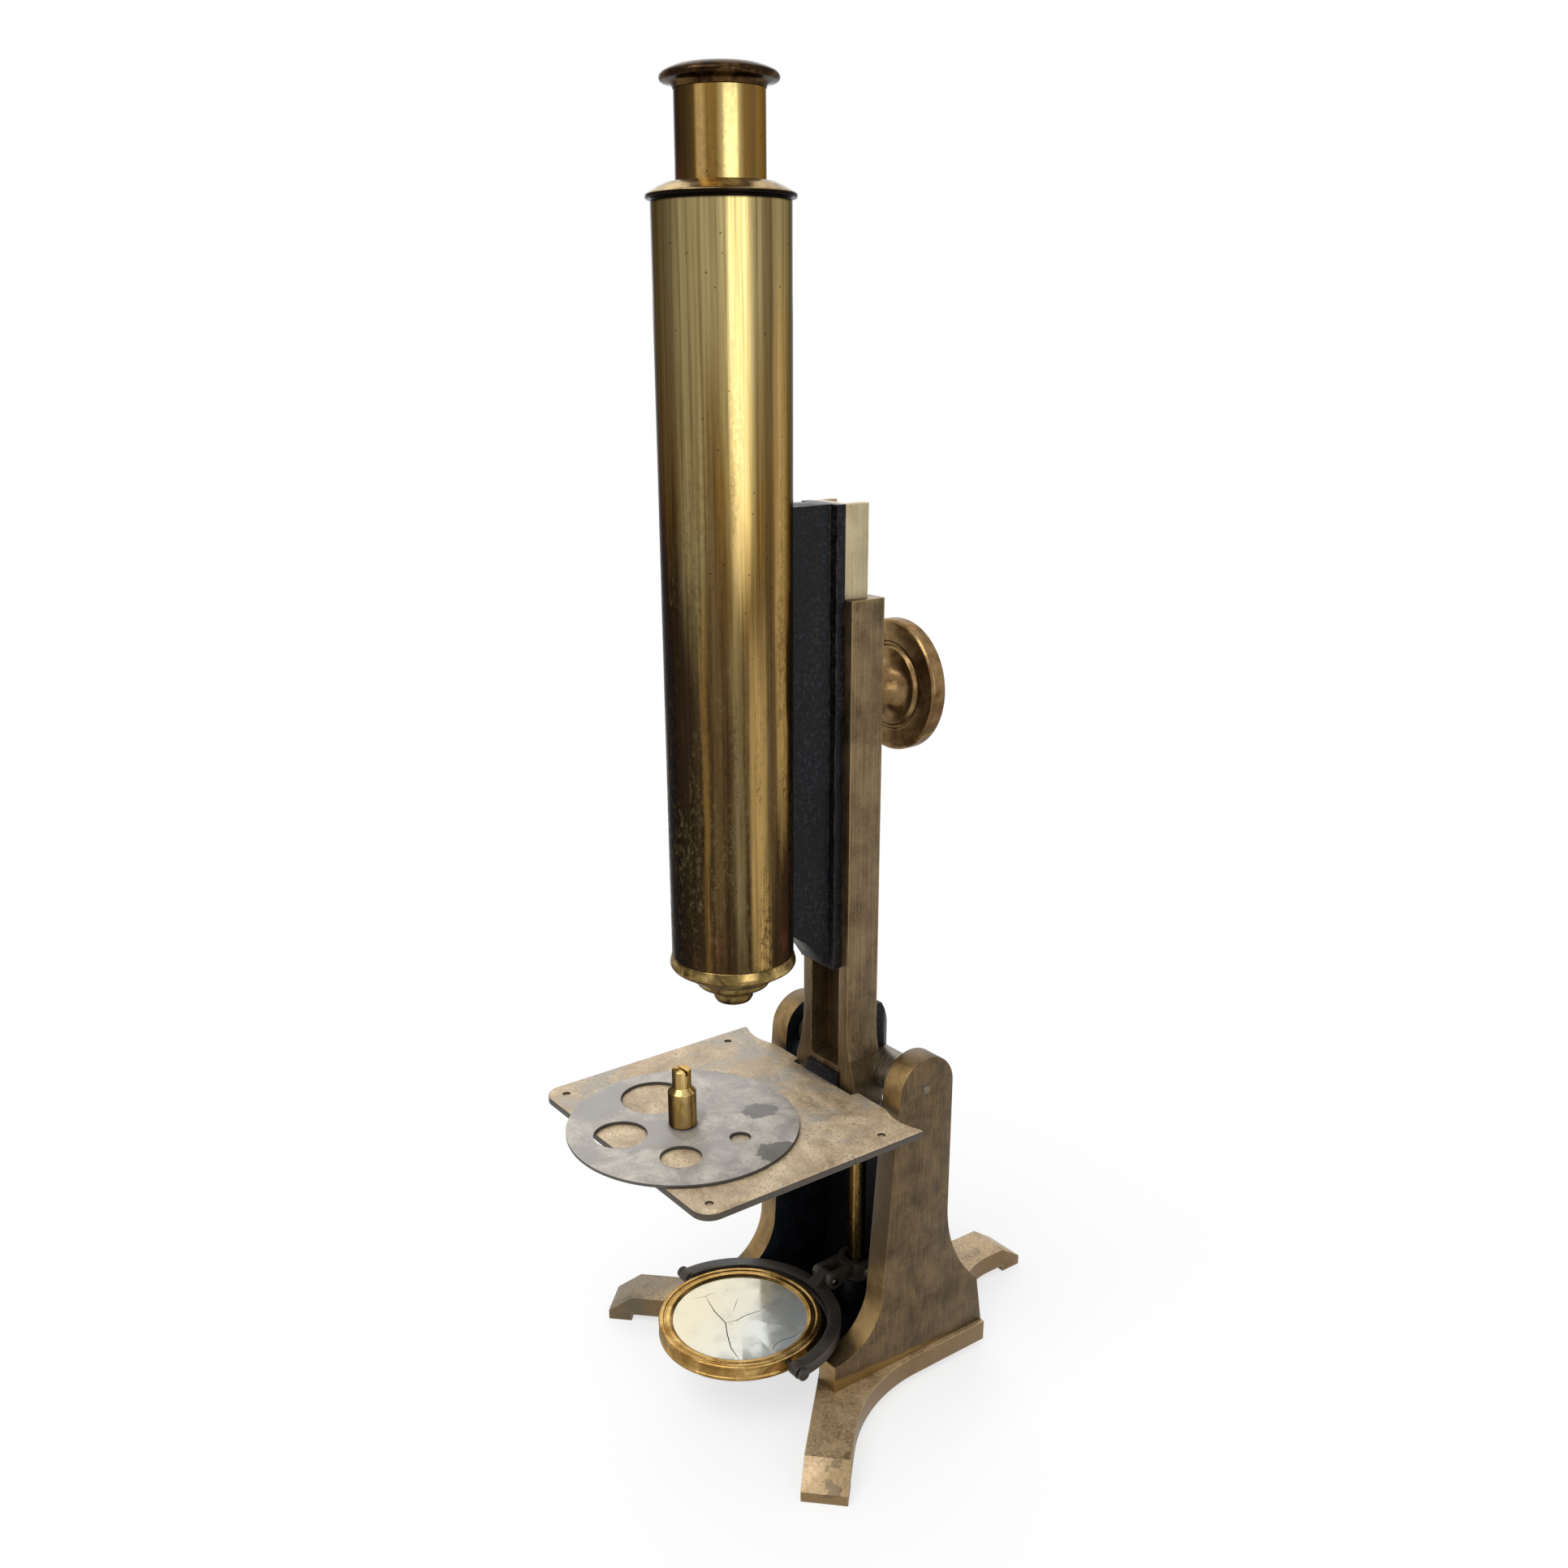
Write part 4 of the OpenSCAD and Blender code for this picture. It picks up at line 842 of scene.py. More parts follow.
@dataclass(frozen=True)
class DullSteel:
    """Grey steel of screws, with rust specks."""

    name: str = "dull_screw_steel"
    tones: tuple[str, str, str] = ("5a5348", "756d60", "8d8474")
    rust: str = "4a3019"
    depth: float = 0.00004

    def build(self) -> Material:
        """Makes the material.

        Returns:
            The material.
        """
        s = Shade(self.name)
        grain = s.noise(1, 4, 0.6, stretch=(2000, 260, 260))
        s.colour = s.ramp(grain, *zip((0.35, 0.55, 0.7), self.tones))
        rust = s.noise(900, 4, 0.7).span(0.58, 0.7, 0, 0.4)
        s.coat(rust, self.rust)
        s.bump(grain, self.depth)
        return s.finish(grain.span(0.3, 0.7, 0.28, 0.5), 0.9)


# Bands of painted reflection and shade round the body tube, with some tarnish: a dark left band, olive, straw
# and gold highlights, and brown bands.
TUBE_STREAKS = (
    Streak(-20, 44, Tone.UMBER, 0, 410, 0.75),
    Streak(-10, 40, Tone.DEEP_SHADE, 0, 292, 0.8),
    Streak(33, 3, Tone.HONEY, 165, 280, 0.7),
    Streak(44, 4, Tone.BROWN, 165, 320, 0.7),
    Streak(27, 13, Tone.OLIVE, 270, 500, 0.7),
    Streak(67, 12, Tone.STRAW, 296, 500, 0.5),
    Streak(62, 5, Tone.OLIVE, 165, 300, 0.4),
    Streak(82, 9, Tone.GOLD, 140, 262, 0.95),
    Streak(94, 5, Tone.BROWN, 180, 500, 0.7),
    Streak(109, 8, Tone.GOLD, 215, 350, 0.9),
    Streak(134, 16, Tone.BROWN, 0, 500, 0.5),
)
# Bands of painted reflection and shade on the eyepiece, post and rod: a dark left band, gold and straw
# highlights and a brown band.
BRIGHT_STREAKS = (
    Streak(-12, 36, Tone.DEEP_SHADE, share=0.85),
    Streak(30, 6, Tone.GOLD, share=0.9),
    Streak(68, 13, Tone.STRAW, share=0.65),
    Streak(98, 6, Tone.BROWN, share=0.6),
)


class Paints:
    """All materials of the microscope, each made once."""

    def __init__(self) -> None:
        """Builds the materials."""
        # The pillar's front colour is painted light at foot and shoulder, over a painted shadow of the stage.
        self.pillar = Brushed(
            "brown_patina_brass", "443625", "5c4b34", "745f43", "a08458", grain=(1800, 1800, 90),
            grain_share=0.3, blotch=120, edges=0.35, front="b0905c", hem="9a7d4a", japanned=True).build()
        # The foot's side colour is painted shade on its upright faces, and its near toe gets painted shade
        # too.
        self.foot = Brushed(
            "tan_foot_brass", "78644a", "a88f6c", "c8ae86", "d4bc8c", grain=(900, 900, 900), spots=0.8,
            blotch=110, edges=0.6, crease=0.2, side="6a4e26", metallic=0.35, japanned=True, toes=True).build()
        self.limb = Brushed(
            "satin_limb_brass", "483a27", "69573f", "877353", "b0945f", grain=(2600, 2600, 30),
            edges=0.7, crease=0.0).build()
        self.slide = Brushed(
            "pale_slide_brass", "7d735b", "978a6c", "aa9e7f", "cbbd90", grain=(2600, 2600, 30),
            spots=0.25).build()
        # The tube's shadow line is painted shadow under the top ring.
        self.tube = Banded(
            "streaked_tube_brass", (Tone.UMBER, Tone.BROWN, Tone.HONEY, Tone.OLIVE, Tone.OLIVE),
            TUBE_STREAKS, shadow_line=377.6).build()
        self.eyepiece = Banded(
            "bright_eyepiece_brass", (Tone.HONEY, Tone.HONEY), BRIGHT_STREAKS, drift=2, mottle=0.3,
            wash=0.25, fade=(380, 420, 0.3), rough=(0.12, 0.28)).build()
        self.post = Banded(
            "bright_post_brass", (Tone.GOLD, Tone.GOLD), BRIGHT_STREAKS, axis_y=POST_Y, drift=2,
            mottle=0.2, wash=0.2, fade=(100, 130, 0.5), rough=(0.14, 0.28)).build()
        self.rod = Banded(
            "dull_rod_brass", (Tone.HONEY, Tone.HONEY), BRIGHT_STREAKS, axis_y=ROD_Y, drift=4,
            mottle=0.5, fade=(10, 110, 0.5), rough=(0.2, 0.4)).build()
        # The ring is painted dark below its lip as painted shade.
        self.ring = Lathed("turned_ring_brass", "6a5436", "9a8258", "c4ad7e", below=379.0).build()
        self.nose = Lathed(
            "turned_nose_brass", "33260f", "77633a", "c2a76c", grain=(40, 40, 300), spots=0.4).build()
        self.flange = Lathed(
            "dark_flange_brass", "140a04", "2c1c0d", "5c4427", spots=0.2, crease=0.006).build()
        self.bright = Lathed("polished_brass", "7c5c26", "b28f48", "e8c981", spots=0.35).build()
        self.frame = Lathed(
            "mirror_frame_brass", "80602f", "a07f49", "c4a468", grain=(60, 60, 160), spots=0.2).build()
        self.knob = Lathed(
            "handled_knob_brass", "5a4228", "7a6140", "9a7f56", grain=(150, 40, 150), spots=0.2,
            rough=(0.2, 0.36)).build()
        # The side colours of the stage and the disc are painted shade on their edges.
        self.stage = Tarnished(
            "oxidised_stage_brass", "86725a", "b09b7d", "d2bf9f", "9a948a", side="0d0a06", rust=0.8,
            cloud_scale=30, stains=((43, -86, 7),), stain_colour="7d705a", metallic=0.15).build()
        self.disc = Tarnished(
            "grey_disc_metal", "7d7770", "9e9890", "b9b2a8", "8c8884", side="3c3935",
            stains=((8, -31, 5.5), (32, -43, 6.5)), metallic=0.3).build()
        self.black = Lacquer("black_japan_lacquer", "040406", "0e0e12", "6e5a3a", gloss=0.15).build()
        self.bronze = Lacquer("dark_worn_bronze", "1c1711", "3b342b", "8a7450", rough=0.4, gloss=0.4).build()
        self.arm = Lacquer("rubbed_arm_bronze", "3a332a", "5a5044", "8a7450", rough=0.4, gloss=0.4).build()
        self.steel = DullSteel().build()
        self.lens = Glass().build()
        self.mirror = Silvered().build()
        self.gap = Lacquer("dark_crack_edge", "0b0a08", "1a1712", "2a241a", rough=0.7).build()


def outline_rounded(points: Sequence[Point], radius: float, steps: int = 3) -> list[Point]:
    """Rounds the corners of a closed outline.

    Args:
        points: Corners of the outline in millimetres.
        radius: Radius of the rounding, cut down where an edge is short.
        steps: Number of new edges at each corner.

    Returns:
        The corners of the rounded outline.
    """
    out: list[Point] = []
    for i, (px, py) in enumerate(points):
        ax, ay = points[i - 1]
        bx, by = points[(i + 1) % len(points)]
        la, lb = math.hypot(ax - px, ay - py), math.hypot(bx - px, by - py)
        if px < TINY or min(la, lb) < TINY:
            out.append((px, py))
            continue
        cut = min(radius, la * 0.45, lb * 0.45)
        start = (px + (ax - px) / la * cut, py + (ay - py) / la * cut)
        end = (px + (bx - px) / lb * cut, py + (by - py) / lb * cut)
        for k in range(steps + 1):
            t = k / steps
            out.append(tuple((1 - t) ** 2 * s + 2 * t * (1 - t) * p + t * t * e
                             for s, p, e in zip(start, (px, py), end)))
    return out


def as_object(name: str, bm: bmesh.types.BMesh) -> Thing:
    """Turns a shape under work into an object at the origin.

    Args:
        name: Name of the object and of its mesh.
        bm: The shape, which is freed.

    Returns:
        The new object.
    """
    mesh = bpy.data.meshes.new(name)
    bm.to_mesh(mesh)
    bm.free()
    obj = bpy.data.objects.new(name, mesh)
    bpy.context.scene.collection.objects.link(obj)
    return obj


def smoothed(obj: Thing, degrees: float) -> Thing:
    """Shades an object smooth except at edges sharper than the angle.

    Args:
        obj: The object.
        degrees: The angle.

    Returns:
        The same object.
    """
    obj.data.shade_smooth()
    obj.data.set_sharp_from_angle(angle=math.radians(degrees))
    return obj


def turned(name: str, points: Sequence[Point], centre: Triple, axis: Turned = Turned.UP,
           rounding: float = 0.12, segments: int = 144) -> Thing:
    """Makes a turned piece from its closed cross-section.

    Args:
        name: Name of the object.
        points: Radius and distance along the axis of each corner, in millimetres.
        centre: Point that the distances start from, in millimetres.
        axis: Direction of the axis.
        rounding: Radius of the rounded corners in millimetres.
        segments: Number of faces round the piece.

    Returns:
        The new object, shaded smooth.
    """
    bm = bmesh.new()
    rings = []
    for r, h in outline_rounded(points, rounding):
        ring = []
        for i in range(1 if r < TINY else segments):
            a = 2 * math.pi * i / segments
            across, aside = r * math.cos(a), r * math.sin(a)
            place = (across, aside, h) if axis is Turned.UP else (across, h, aside)
            ring.append(bm.verts.new([(c + p) * MM for c, p in zip(centre, place)]))
        rings.append(ring)
    for a, b in zip(rings, rings[1:] + rings[:1]):
        if len(a) == 1 and len(b) == 1:
            continue
        for i in range(segments):
            j = (i + 1) % segments
            corners = [a[i % len(a)], a[j % len(a)], b[j % len(b)], b[i % len(b)]]
            bm.faces.new(list(dict.fromkeys(corners)))
    bmesh.ops.recalc_face_normals(bm, faces=bm.faces)
    return smoothed(as_object(name, bm), 36)


def apply_modifiers(obj: Thing) -> None:
    """Puts an object's evaluated mesh in place of its own and takes its modifiers off.

    Args:
        obj: The object.
    """
    graph = bpy.context.evaluated_depsgraph_get()
    mesh = bpy.data.meshes.new_from_object(obj.evaluated_get(graph))
    obj.modifiers.clear()
    obj.data = mesh


def softened(node: str, radius: float, steps: int = 2) -> Thing:
    """Makes a copy of a CAD node with rounded edges.

    Args:
        node: Name of the node.
        radius: Width of the rounding in millimetres.
        steps: Number of faces across each rounded edge.

    Returns:
        The new object.
    """
    bm = bmesh.new()
    bm.from_mesh(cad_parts[node].data)
    bmesh.ops.remove_doubles(bm, verts=bm.verts, dist=MERGE_GAP * MM)
    bmesh.ops.dissolve_limit(bm, angle_limit=math.radians(FLAT_DEGREES), verts=bm.verts, edges=bm.edges)
    obj = as_object(node + "_dressed", bm)
    bevel = obj.modifiers.new("rounding", "BEVEL")
    bevel.width = radius * MM
    bevel.segments = steps
    bevel.limit_method = "ANGLE"
    bevel.angle_limit = math.radians(EDGE_DEGREES)
    bevel.use_clamp_overlap = True
    bevel.miter_outer = "MITER_ARC"
    apply_modifiers(obj)
    return smoothed(obj, 30)


def dress(obj: Thing, material: Material, slot: Slot, body: str, *nodes: str) -> None:
    """Gives a new piece what the frame has to know of it.

    Args:
        obj: The piece.
        material: Its material, unless it already has one.
        slot: Its material slot; not used.
        body: The body that it moves with.
        nodes: The CAD nodes that it stands for.
    """
    if not obj.data.materials:
        obj.data.materials.append(material)
    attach(obj, body)
    if nodes:
        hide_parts(*nodes)
    LOG.info("%s rides on %s", obj.name, body)


def paint_nodes(material: Material, *nodes: str) -> None:
    """Gives CAD nodes that stay in view their material.

    Args:
        material: The material.
        nodes: Names of the nodes.
    """
    for node in nodes:
        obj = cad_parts[node]
        obj.data.materials.clear()
        obj.data.materials.append(material)
        LOG.info("%s keeps its own shape", node)


@dataclass
class Part:
    """A sub-assembly that knows the paints."""

    paints: Paints

    def soft(self, node: str, radius: float, material: Material, slot: Slot, body: str,
             steps: int = 2) -> None:
        """Replaces a node by its copy with rounded edges."""
        dress(softened(node, radius, steps), material, slot, body, node)

    def on_axis(self, name: str, points: Sequence[Point], material: Material, slot: Slot, body: str,
                node: str, rounding: float = 0.12) -> None:
        """Replaces a node by a finely turned piece round the optical axis."""
        dress(turned(name, points, (0, AXIS_Y, 0), rounding=rounding), material, slot, body, node)


@dataclass
class Stand(Part):
    """Tripod foot, the two pillars and the plate between them."""

    edge: float = 0.7
    plate_edge: float = 0.3

    def build(self) -> None:
        """Makes and dresses the pieces."""
        p = self.paints
        self.soft("tripod_base", self.edge, p.foot, Slot.AGED, "stand")
        for node in ("near_upright", "far_upright"):
            self.soft(node, self.edge, p.pillar, Slot.AGED, "stand")
        self.soft("cross_plate", self.plate_edge, p.black, Slot.BLACK, "stand")
        paint_nodes(p.steel, "foot_screws", "trunnion_pins")


@dataclass
class Limb(Part):
    """Limb with its black block, axle, stage bracket and tail rod."""

    edge: float = 0.45
    block_edge: float = 0.8
    bracket_edge: float = 0.5
    rod_edge: float = 0.4
    bush_edge: float = 0.25

    def build(self) -> None:
        """Makes and dresses the pieces."""
        p = self.paints
        self.soft("limb", self.edge, p.limb, Slot.AGED, "limb")
        self.soft("trunnion_block", self.block_edge, p.black, Slot.BLACK, "limb")
        self.soft("stage_bracket", self.bracket_edge, p.black, Slot.BLACK, "limb")
        self.soft("tail_rod", self.rod_edge, p.rod, Slot.AGED, "limb")
        self.soft("pinion_bush", self.bush_edge, p.bright, Slot.BRIGHT, "limb")
        paint_nodes(p.steel, "trunnion_axle", "limb_screws", "bracket_pins", "post_nut")


@dataclass
class Rack(Part):
    """Toothed rack in the slide, its teeth laid out by a node tree."""

    module: float = 0.8
    head: float = 0.6
    sunk: float = 0.4
    pressure_angle: float = 20
    slack: float = 0.3
    knob_height: float = 239
    low: float = 193
    high: float = 273
    front: float = 3.65
    back: float = 8.35
    bar: Point = (-6.3, -4.8)
    edge: float = 0.12

    @property
    def pitch(self) -> float:
        """Distance from one tooth to the next."""
        return self.module * math.pi

    def tooth(self) -> Thing:
        """Makes one tooth at the middle of its pitch, with its root inside the bar.

        Returns:
            The tooth.
        """
        half = self.pitch / 4 - self.slack / 2
        slope = math.tan(math.radians(self.pressure_angle))
        root, line = self.module + self.sunk, self.bar[1] + self.module
        corners = [(x, side * (half - x * slope))
                   for x, side in ((-root, 1), (-root, -1), (self.head, -1), (self.head, 1))]
        bm = bmesh.new()
        ends = []
        for y in (self.front, self.back):
            ends.append([bm.verts.new(((line + x) * MM, y * MM, z * MM)) for x, z in corners])
            bm.faces.new(ends[-1])
        for i in range(len(corners)):
            bm.faces.new((ends[0][i - 1], ends[0][i], ends[1][i], ends[1][i - 1]))
        bmesh.ops.recalc_face_normals(bm, faces=bm.faces)
        return as_object("rack_teeth", bm)

    def block(self) -> Thing:
        """Makes the bar that carries the teeth, with softened edges.

        Returns:
            The bar.
        """
        spans = (self.bar, (self.front, self.back), (self.low, self.high))
        size = Matrix.Diagonal((*((b - a) * MM for a, b in spans), 1))
        middle = Matrix.Translation([(a + b) / 2 * MM for a, b in spans])
        bm = bmesh.new()
        bmesh.ops.create_cube(bm, size=1, matrix=middle @ size)
        bmesh.ops.bevel(bm, geom=bm.edges, offset=self.edge * MM, segments=2, affect="EDGES")
        return smoothed(as_object("rack_bar", bm), 32)

    def row(self, obj: Thing, count: int, start: float, material: Material) -> None:
        """Repeats an object's mesh upwards with geometry nodes and applies the result.

        Args:
            obj: The object that holds one tooth.
            count: Number of teeth.
            start: Height of the first tooth in millimetres.
            material: Finish of the teeth.
        """
        tree = bpy.data.node_groups.new("teeth_in_a_row", "GeometryNodeTree")
        new_socket = tree.interface.new_socket
        inputs = {"Tooth": "Geometry", "Count": "Int", "Pitch": "Float", "Start": "Float",
                  "Finish": "Material"}
        sockets = {name: new_socket(name, in_out="INPUT", socket_type="NodeSocket" + kind)
                   for name, kind in inputs.items()}
        new_socket("Teeth", in_out="OUTPUT", socket_type="NodeSocketGeometry")
        given, first, step, line, repeat, real, finish, result = (tree.nodes.new(kind) for kind in (
            "NodeGroupInput", "ShaderNodeCombineXYZ", "ShaderNodeCombineXYZ", "GeometryNodeMeshLine",
            "GeometryNodeInstanceOnPoints", "GeometryNodeRealizeInstances", "GeometryNodeSetMaterial",
            "NodeGroupOutput"))
        for source, target in (
            (given.outputs["Start"], first.inputs["Z"]),
            (given.outputs["Pitch"], step.inputs["Z"]),
            (given.outputs["Count"], line.inputs["Count"]),
            (first.outputs[0], line.inputs["Start Location"]),
            (step.outputs[0], line.inputs["Offset"]),
            (line.outputs[0], repeat.inputs["Points"]),
            (given.outputs["Tooth"], repeat.inputs["Instance"]),
            (repeat.outputs[0], real.inputs[0]),
            (real.outputs[0], finish.inputs["Geometry"]),
            (given.outputs["Finish"], finish.inputs["Material"]),
            (finish.outputs[0], result.inputs[0]),
        ):
            tree.links.new(source, target)
        modifier = obj.modifiers.new("teeth", "NODES")
        modifier.node_group = tree
        values = {"Count": count, "Pitch": self.pitch * MM, "Start": start * MM, "Finish": material}
        for name, value in values.items():
            modifier[sockets[name].identifier] = value
        apply_modifiers(obj)

    def build(self) -> None:
        """Makes the bar and the teeth in place of the rack's node."""
        first = -math.floor((self.knob_height - self.low) / self.pitch)
        last = math.floor((self.high - self.knob_height) / self.pitch) - 1
        brass, teeth = self.paints.bright, self.tooth()
        self.row(teeth, last - first + 1, self.knob_height + (first + 0.5) * self.pitch, brass)
        dress(self.block(), brass, Slot.BRIGHT, "focus_slide", "gear_rack")
        dress(teeth, brass, Slot.BRIGHT, "focus_slide")


@dataclass
class Slide(Part):
    """Dovetail slide and the black bracket that carries the tube."""

    edge: float = 0.3
    bracket_edge: float = 0.5

    def build(self) -> None:
        """Makes and dresses the pieces."""
        p = self.paints
        self.soft("dovetail_slide", self.edge, p.slide, Slot.AGED, "focus_slide")
        self.soft("tube_bracket", self.bracket_edge, p.black, Slot.BLACK, "focus_slide")
        paint_nodes(p.steel, "rack_screws", "slide_screws", "tube_screws")


@dataclass
class BodyTube(Part):
    """Body tube with its rings, nose and objective."""

    radius: float = 19
    bore: float = 17.7
    play: float = 0.05
    foot: float = 163
    top: float = 377.6
    spigot_depth: float = 8
    seat: float = 18.5
    ring: float = 20.3
    ring_height: float = 3.2
    collar: float = 15.15
    bush: float = 13.8
    bush_bore: float = 12.2
    bush_length: float = 50
    lip: float = 19.7
    cone_bore: float = 8.55
    cone_foot: float = 155
    ring_foot: float = 152
    barrel: float = 5.95
    tip: float = 146.4

    def build(self) -> None:
        """Makes and dresses the pieces."""
        p, body = self.paints, "focus_slide"
        self.on_axis("streaked_tube", [
            (self.bore, self.foot), (self.radius, self.foot), (self.radius, self.top), (self.bore, self.top),
        ], p.tube, Slot.TUBE, body, "body_tube", 0.15)
        self.top_ring(body)
        self.nose(body)
        self.objective(body)
        paint_nodes(p.black, "tube_stop")
        paint_nodes(p.lens, "objective_lens")

    def top_ring(self, body: str) -> None:
        """Makes the grooved ring on the tube and the bush that hangs in it.

        Args:
            body: The body that they move with.
        """
        p, top, low, ring = self.paints, self.top, self.top - self.spigot_depth, self.ring
        spigot, hole, upper = self.bore - self.play, self.bush + self.play, top + self.ring_height
        self.on_axis("grooved_top_ring", [
            (hole, low), (spigot, low), (spigot, top), (self.seat, top), (self.seat, top + 0.4),
            (ring - 0.3, top + 0.4), (ring, top + 0.8), (ring, top + 1.4), (ring - 0.5, top + 1.8),
            (ring - 3, upper), (self.collar, upper + 1), (hole, upper + 1),
        ], p.ring, Slot.TUBE, body, "top_ring")
        end, foot = upper + 1.2, upper + 1.2 - self.bush_length
        self.on_axis("draw_tube_bush", [
            (self.bush_bore, foot), (self.bush, foot), (self.bush, end - 0.3), (self.bush - 0.3, end),
            (self.bush_bore + 0.3, end), (self.bush_bore, end - 0.3),
        ], p.bright, Slot.BRIGHT, body, "draw_bush")

    def nose(self, body: str) -> None:
        """Makes the nose cone and the ring below it.

        Args:
            body: The body that they move with.
        """
        p, foot, lip, hole, cone, low = (
            self.paints, self.foot, self.lip, self.cone_bore, self.cone_foot, self.ring_foot)
        spigot = self.bore - self.play
        self.on_axis("beaded_nose_cone", [
            (hole, cone), (13.3, cone), (13.6, cone + 0.3), (14.9, cone + 1.1), (16.8, foot - 5.12),
            (lip - 0.5, foot - 4.16), (lip, foot - 3.36), (lip, foot - 2.56), (lip - 0.4, foot - 1.12),
            (self.radius, foot), (spigot, foot), (spigot, foot + 6), (spigot - 1.5, foot + 6),
            (spigot - 1.5, foot - 2.4), (11.5, cone + 2.2), (hole, cone + 2.2),
        ], p.nose, Slot.TUBE, body, "nose_cone", 0.35)
        self.on_axis("objective_ring", [
            (6, low), (10.1, low), (11.2, low + 0.5), (11.7, low + 1.3), (11.7, cone - 0.8), (11.3, cone),
            (8.5, cone), (8.5, cone + 4.5), (6, cone + 4.5),
        ], p.nose, Slot.BRIGHT, body, "nose_ring", 0.25)

    def objective(self, body: str) -> None:
        """Makes the barrel of the objective.

        Args:
            body: The body that it moves with.
        """
        tip, low, barrel = self.tip, self.ring_foot, self.barrel
        self.on_axis("objective_tip", [
            (2.6, tip), (4.4, tip), (5.5, tip + 0.4), (6.2, tip + 1.6), (6.2, low - 2.4), (6.5, low - 1.7),
            (7.6, low - 1.1), (8.6, low - 0.3), (8.8, low), (barrel, low), (barrel, low + 6.5),
            (barrel - 1.7, low + 6.5), (barrel - 1.7, tip + 3.2), (3.45, tip + 3.2), (3.45, tip + 0.7),
            (2.6, tip + 0.7),
        ], self.paints.nose, Slot.BRIGHT, body, "objective_barrel", 0.25)


@dataclass
class Eyepiece(Part):
    """Draw tube with its flange, lenses and stop."""

    top: float = 409.7
    neck: float = 403.9
    radius: float = 12.15
    wall: float = 0.9
    length: float = 65
    rim_radius: float = 15.8
    rim_depth: float = 3.2
    eye_hole: float = 4.2
    lens_seat: float = 7.6

    def build(self) -> None:
        """Makes and dresses the pieces."""
        p, body, neck, top = self.paints, "eyepiece", self.neck, self.top
        low, inner = neck - self.length, self.radius - self.wall
        self.on_axis("eyepiece_draw_tube", [
            (inner, low), (self.radius, low), (self.radius, neck), (inner, neck),
        ], p.eyepiece, Slot.BRIGHT, body, "eyepiece_tube")
        rim, out, hole, seat = top - self.rim_depth, self.rim_radius, self.eye_hole, self.lens_seat
        self.on_axis("eyepiece_flange_cap", [
            (seat, neck - 5), (11.2, neck - 5), (11.2, neck), (12.25, neck), (12.45, neck + 0.8),
            (13.05, neck + 1.4), (out - 1.4, rim - 0.9), (out - 0.4, rim - 0.7), (out, rim - 0.2),
            (out, rim + 0.4), (out - 0.4, rim + 1.1), (out - 1.6, rim + 1.8), (12.15, rim + 2.6),
            (8.4, top - 0.1), (7.6, top), (6.6, top - 0.3), (hole, top - 1.6), (hole, top - 2.4),
            (seat, top - 2.4),
        ], p.flange, Slot.TUBE, body, "eyepiece_flange", 0.4)
        paint_nodes(p.lens, "eye_lens", "field_lens")
        paint_nodes(p.black, "field_stop")


@dataclass
class Knob(Part):
    """Focus knob on the pinion shaft."""

    front: float = 62.2
    radius: float = 20.9
    groove: float = 13.6
    height: float = 239
    hub: float = 51.9
    hub_radius: float = 5.6
    neck: float = 6
    bore: float = 2.45
    screw_hole: float = 3.4
    rim_depth: float = 5.7

    def build(self) -> None:
        """Makes and dresses the pieces."""
        length, rim, hub = self.front - self.hub, self.radius, self.hub_radius
        flare, rear = self.groove - 1.3 - self.neck, length + self.rim_depth
        turns = [math.radians(a) for a in range(0, 91, 6)]
        curve = [(self.neck + flare * (1 - math.cos(a)), length * 0.93 * math.sin(a)) for a in turns]
        section = [
            (self.bore, 0), (hub, 0), *curve, (self.groove - 0.6, length + 0.6),
            (self.groove + 0.2, length + 0.6), (self.groove + 0.7, length), (rim - 0.8, length),
            (rim, length + 0.8), (rim, rear - 0.8), (rim - 0.8, rear), (rim - 4, rear), (rim - 5, rear - 0.8),
            (7, rear - 0.8), (hub, rear - 0.1), (self.screw_hole, rear - 0.1), (self.screw_hole, rear - 1.5),
            (self.bore, rear - 1.5),
        ]
        knob = turned("handled_focus_knob", section, (0, AXIS_Y + self.hub, self.height), Turned.BACK, 0.3)
        dress(knob, self.paints.knob, Slot.AGED, "focus_knob", "focus_knob")
        paint_nodes(self.paints.steel, "pinion_shaft", "knob_screw")


@dataclass
class Stage(Part):
    """Stage plate, the wheel of apertures and its post."""

    edge: float = 0.35
    screw_edge: float = 0.1
    disc_edge: float = 0.15
    post_edge: float = 0.25

    def build(self) -> None:
        """Makes and dresses the pieces."""
        p = self.paints
        self.soft("stage_plate", self.edge, p.stage, Slot.STAGE, "limb")
        self.soft("stage_screws", self.screw_edge, p.stage, Slot.STAGE, "limb")
        self.soft("aperture_disc", self.disc_edge, p.disc, Slot.DISC, "aperture_disc")
        self.soft("disc_post", self.post_edge, p.post, Slot.BRIGHT, "limb", 3)


@dataclass(frozen=True)
class Crack:
    """One crack in the mirror: its width in the middle and its points from the optical axis."""

    width: float
    points: tuple[Point, ...]


CRACKS = (
    Crack(0.34, ((-16.5, -2.4), (-8, -4.6), (-0.2, -5.3), (4.8, -8.2), (12, -11.6), (20.2, -13.2))),
    Crack(0.3, ((-0.2, -5.3), (0.9, -1.2), (0.4, 2.3), (1.2, 7.5), (3.2, 12.9))),
    Crack(0.2, ((-9, 6), (-6.6, 3.4), (-3.9, 0.4))),
    Crack(0.26, ((21.5, -1.7), (19.6, 0.8), (18.8, 4), (19.6, 8.6), (18.8, 13.3))),
    Crack(0.2, ((-18.7, -7), (-16.8, -2.1), (-17.1, -0.4), (-16.5, 1.5))),
)


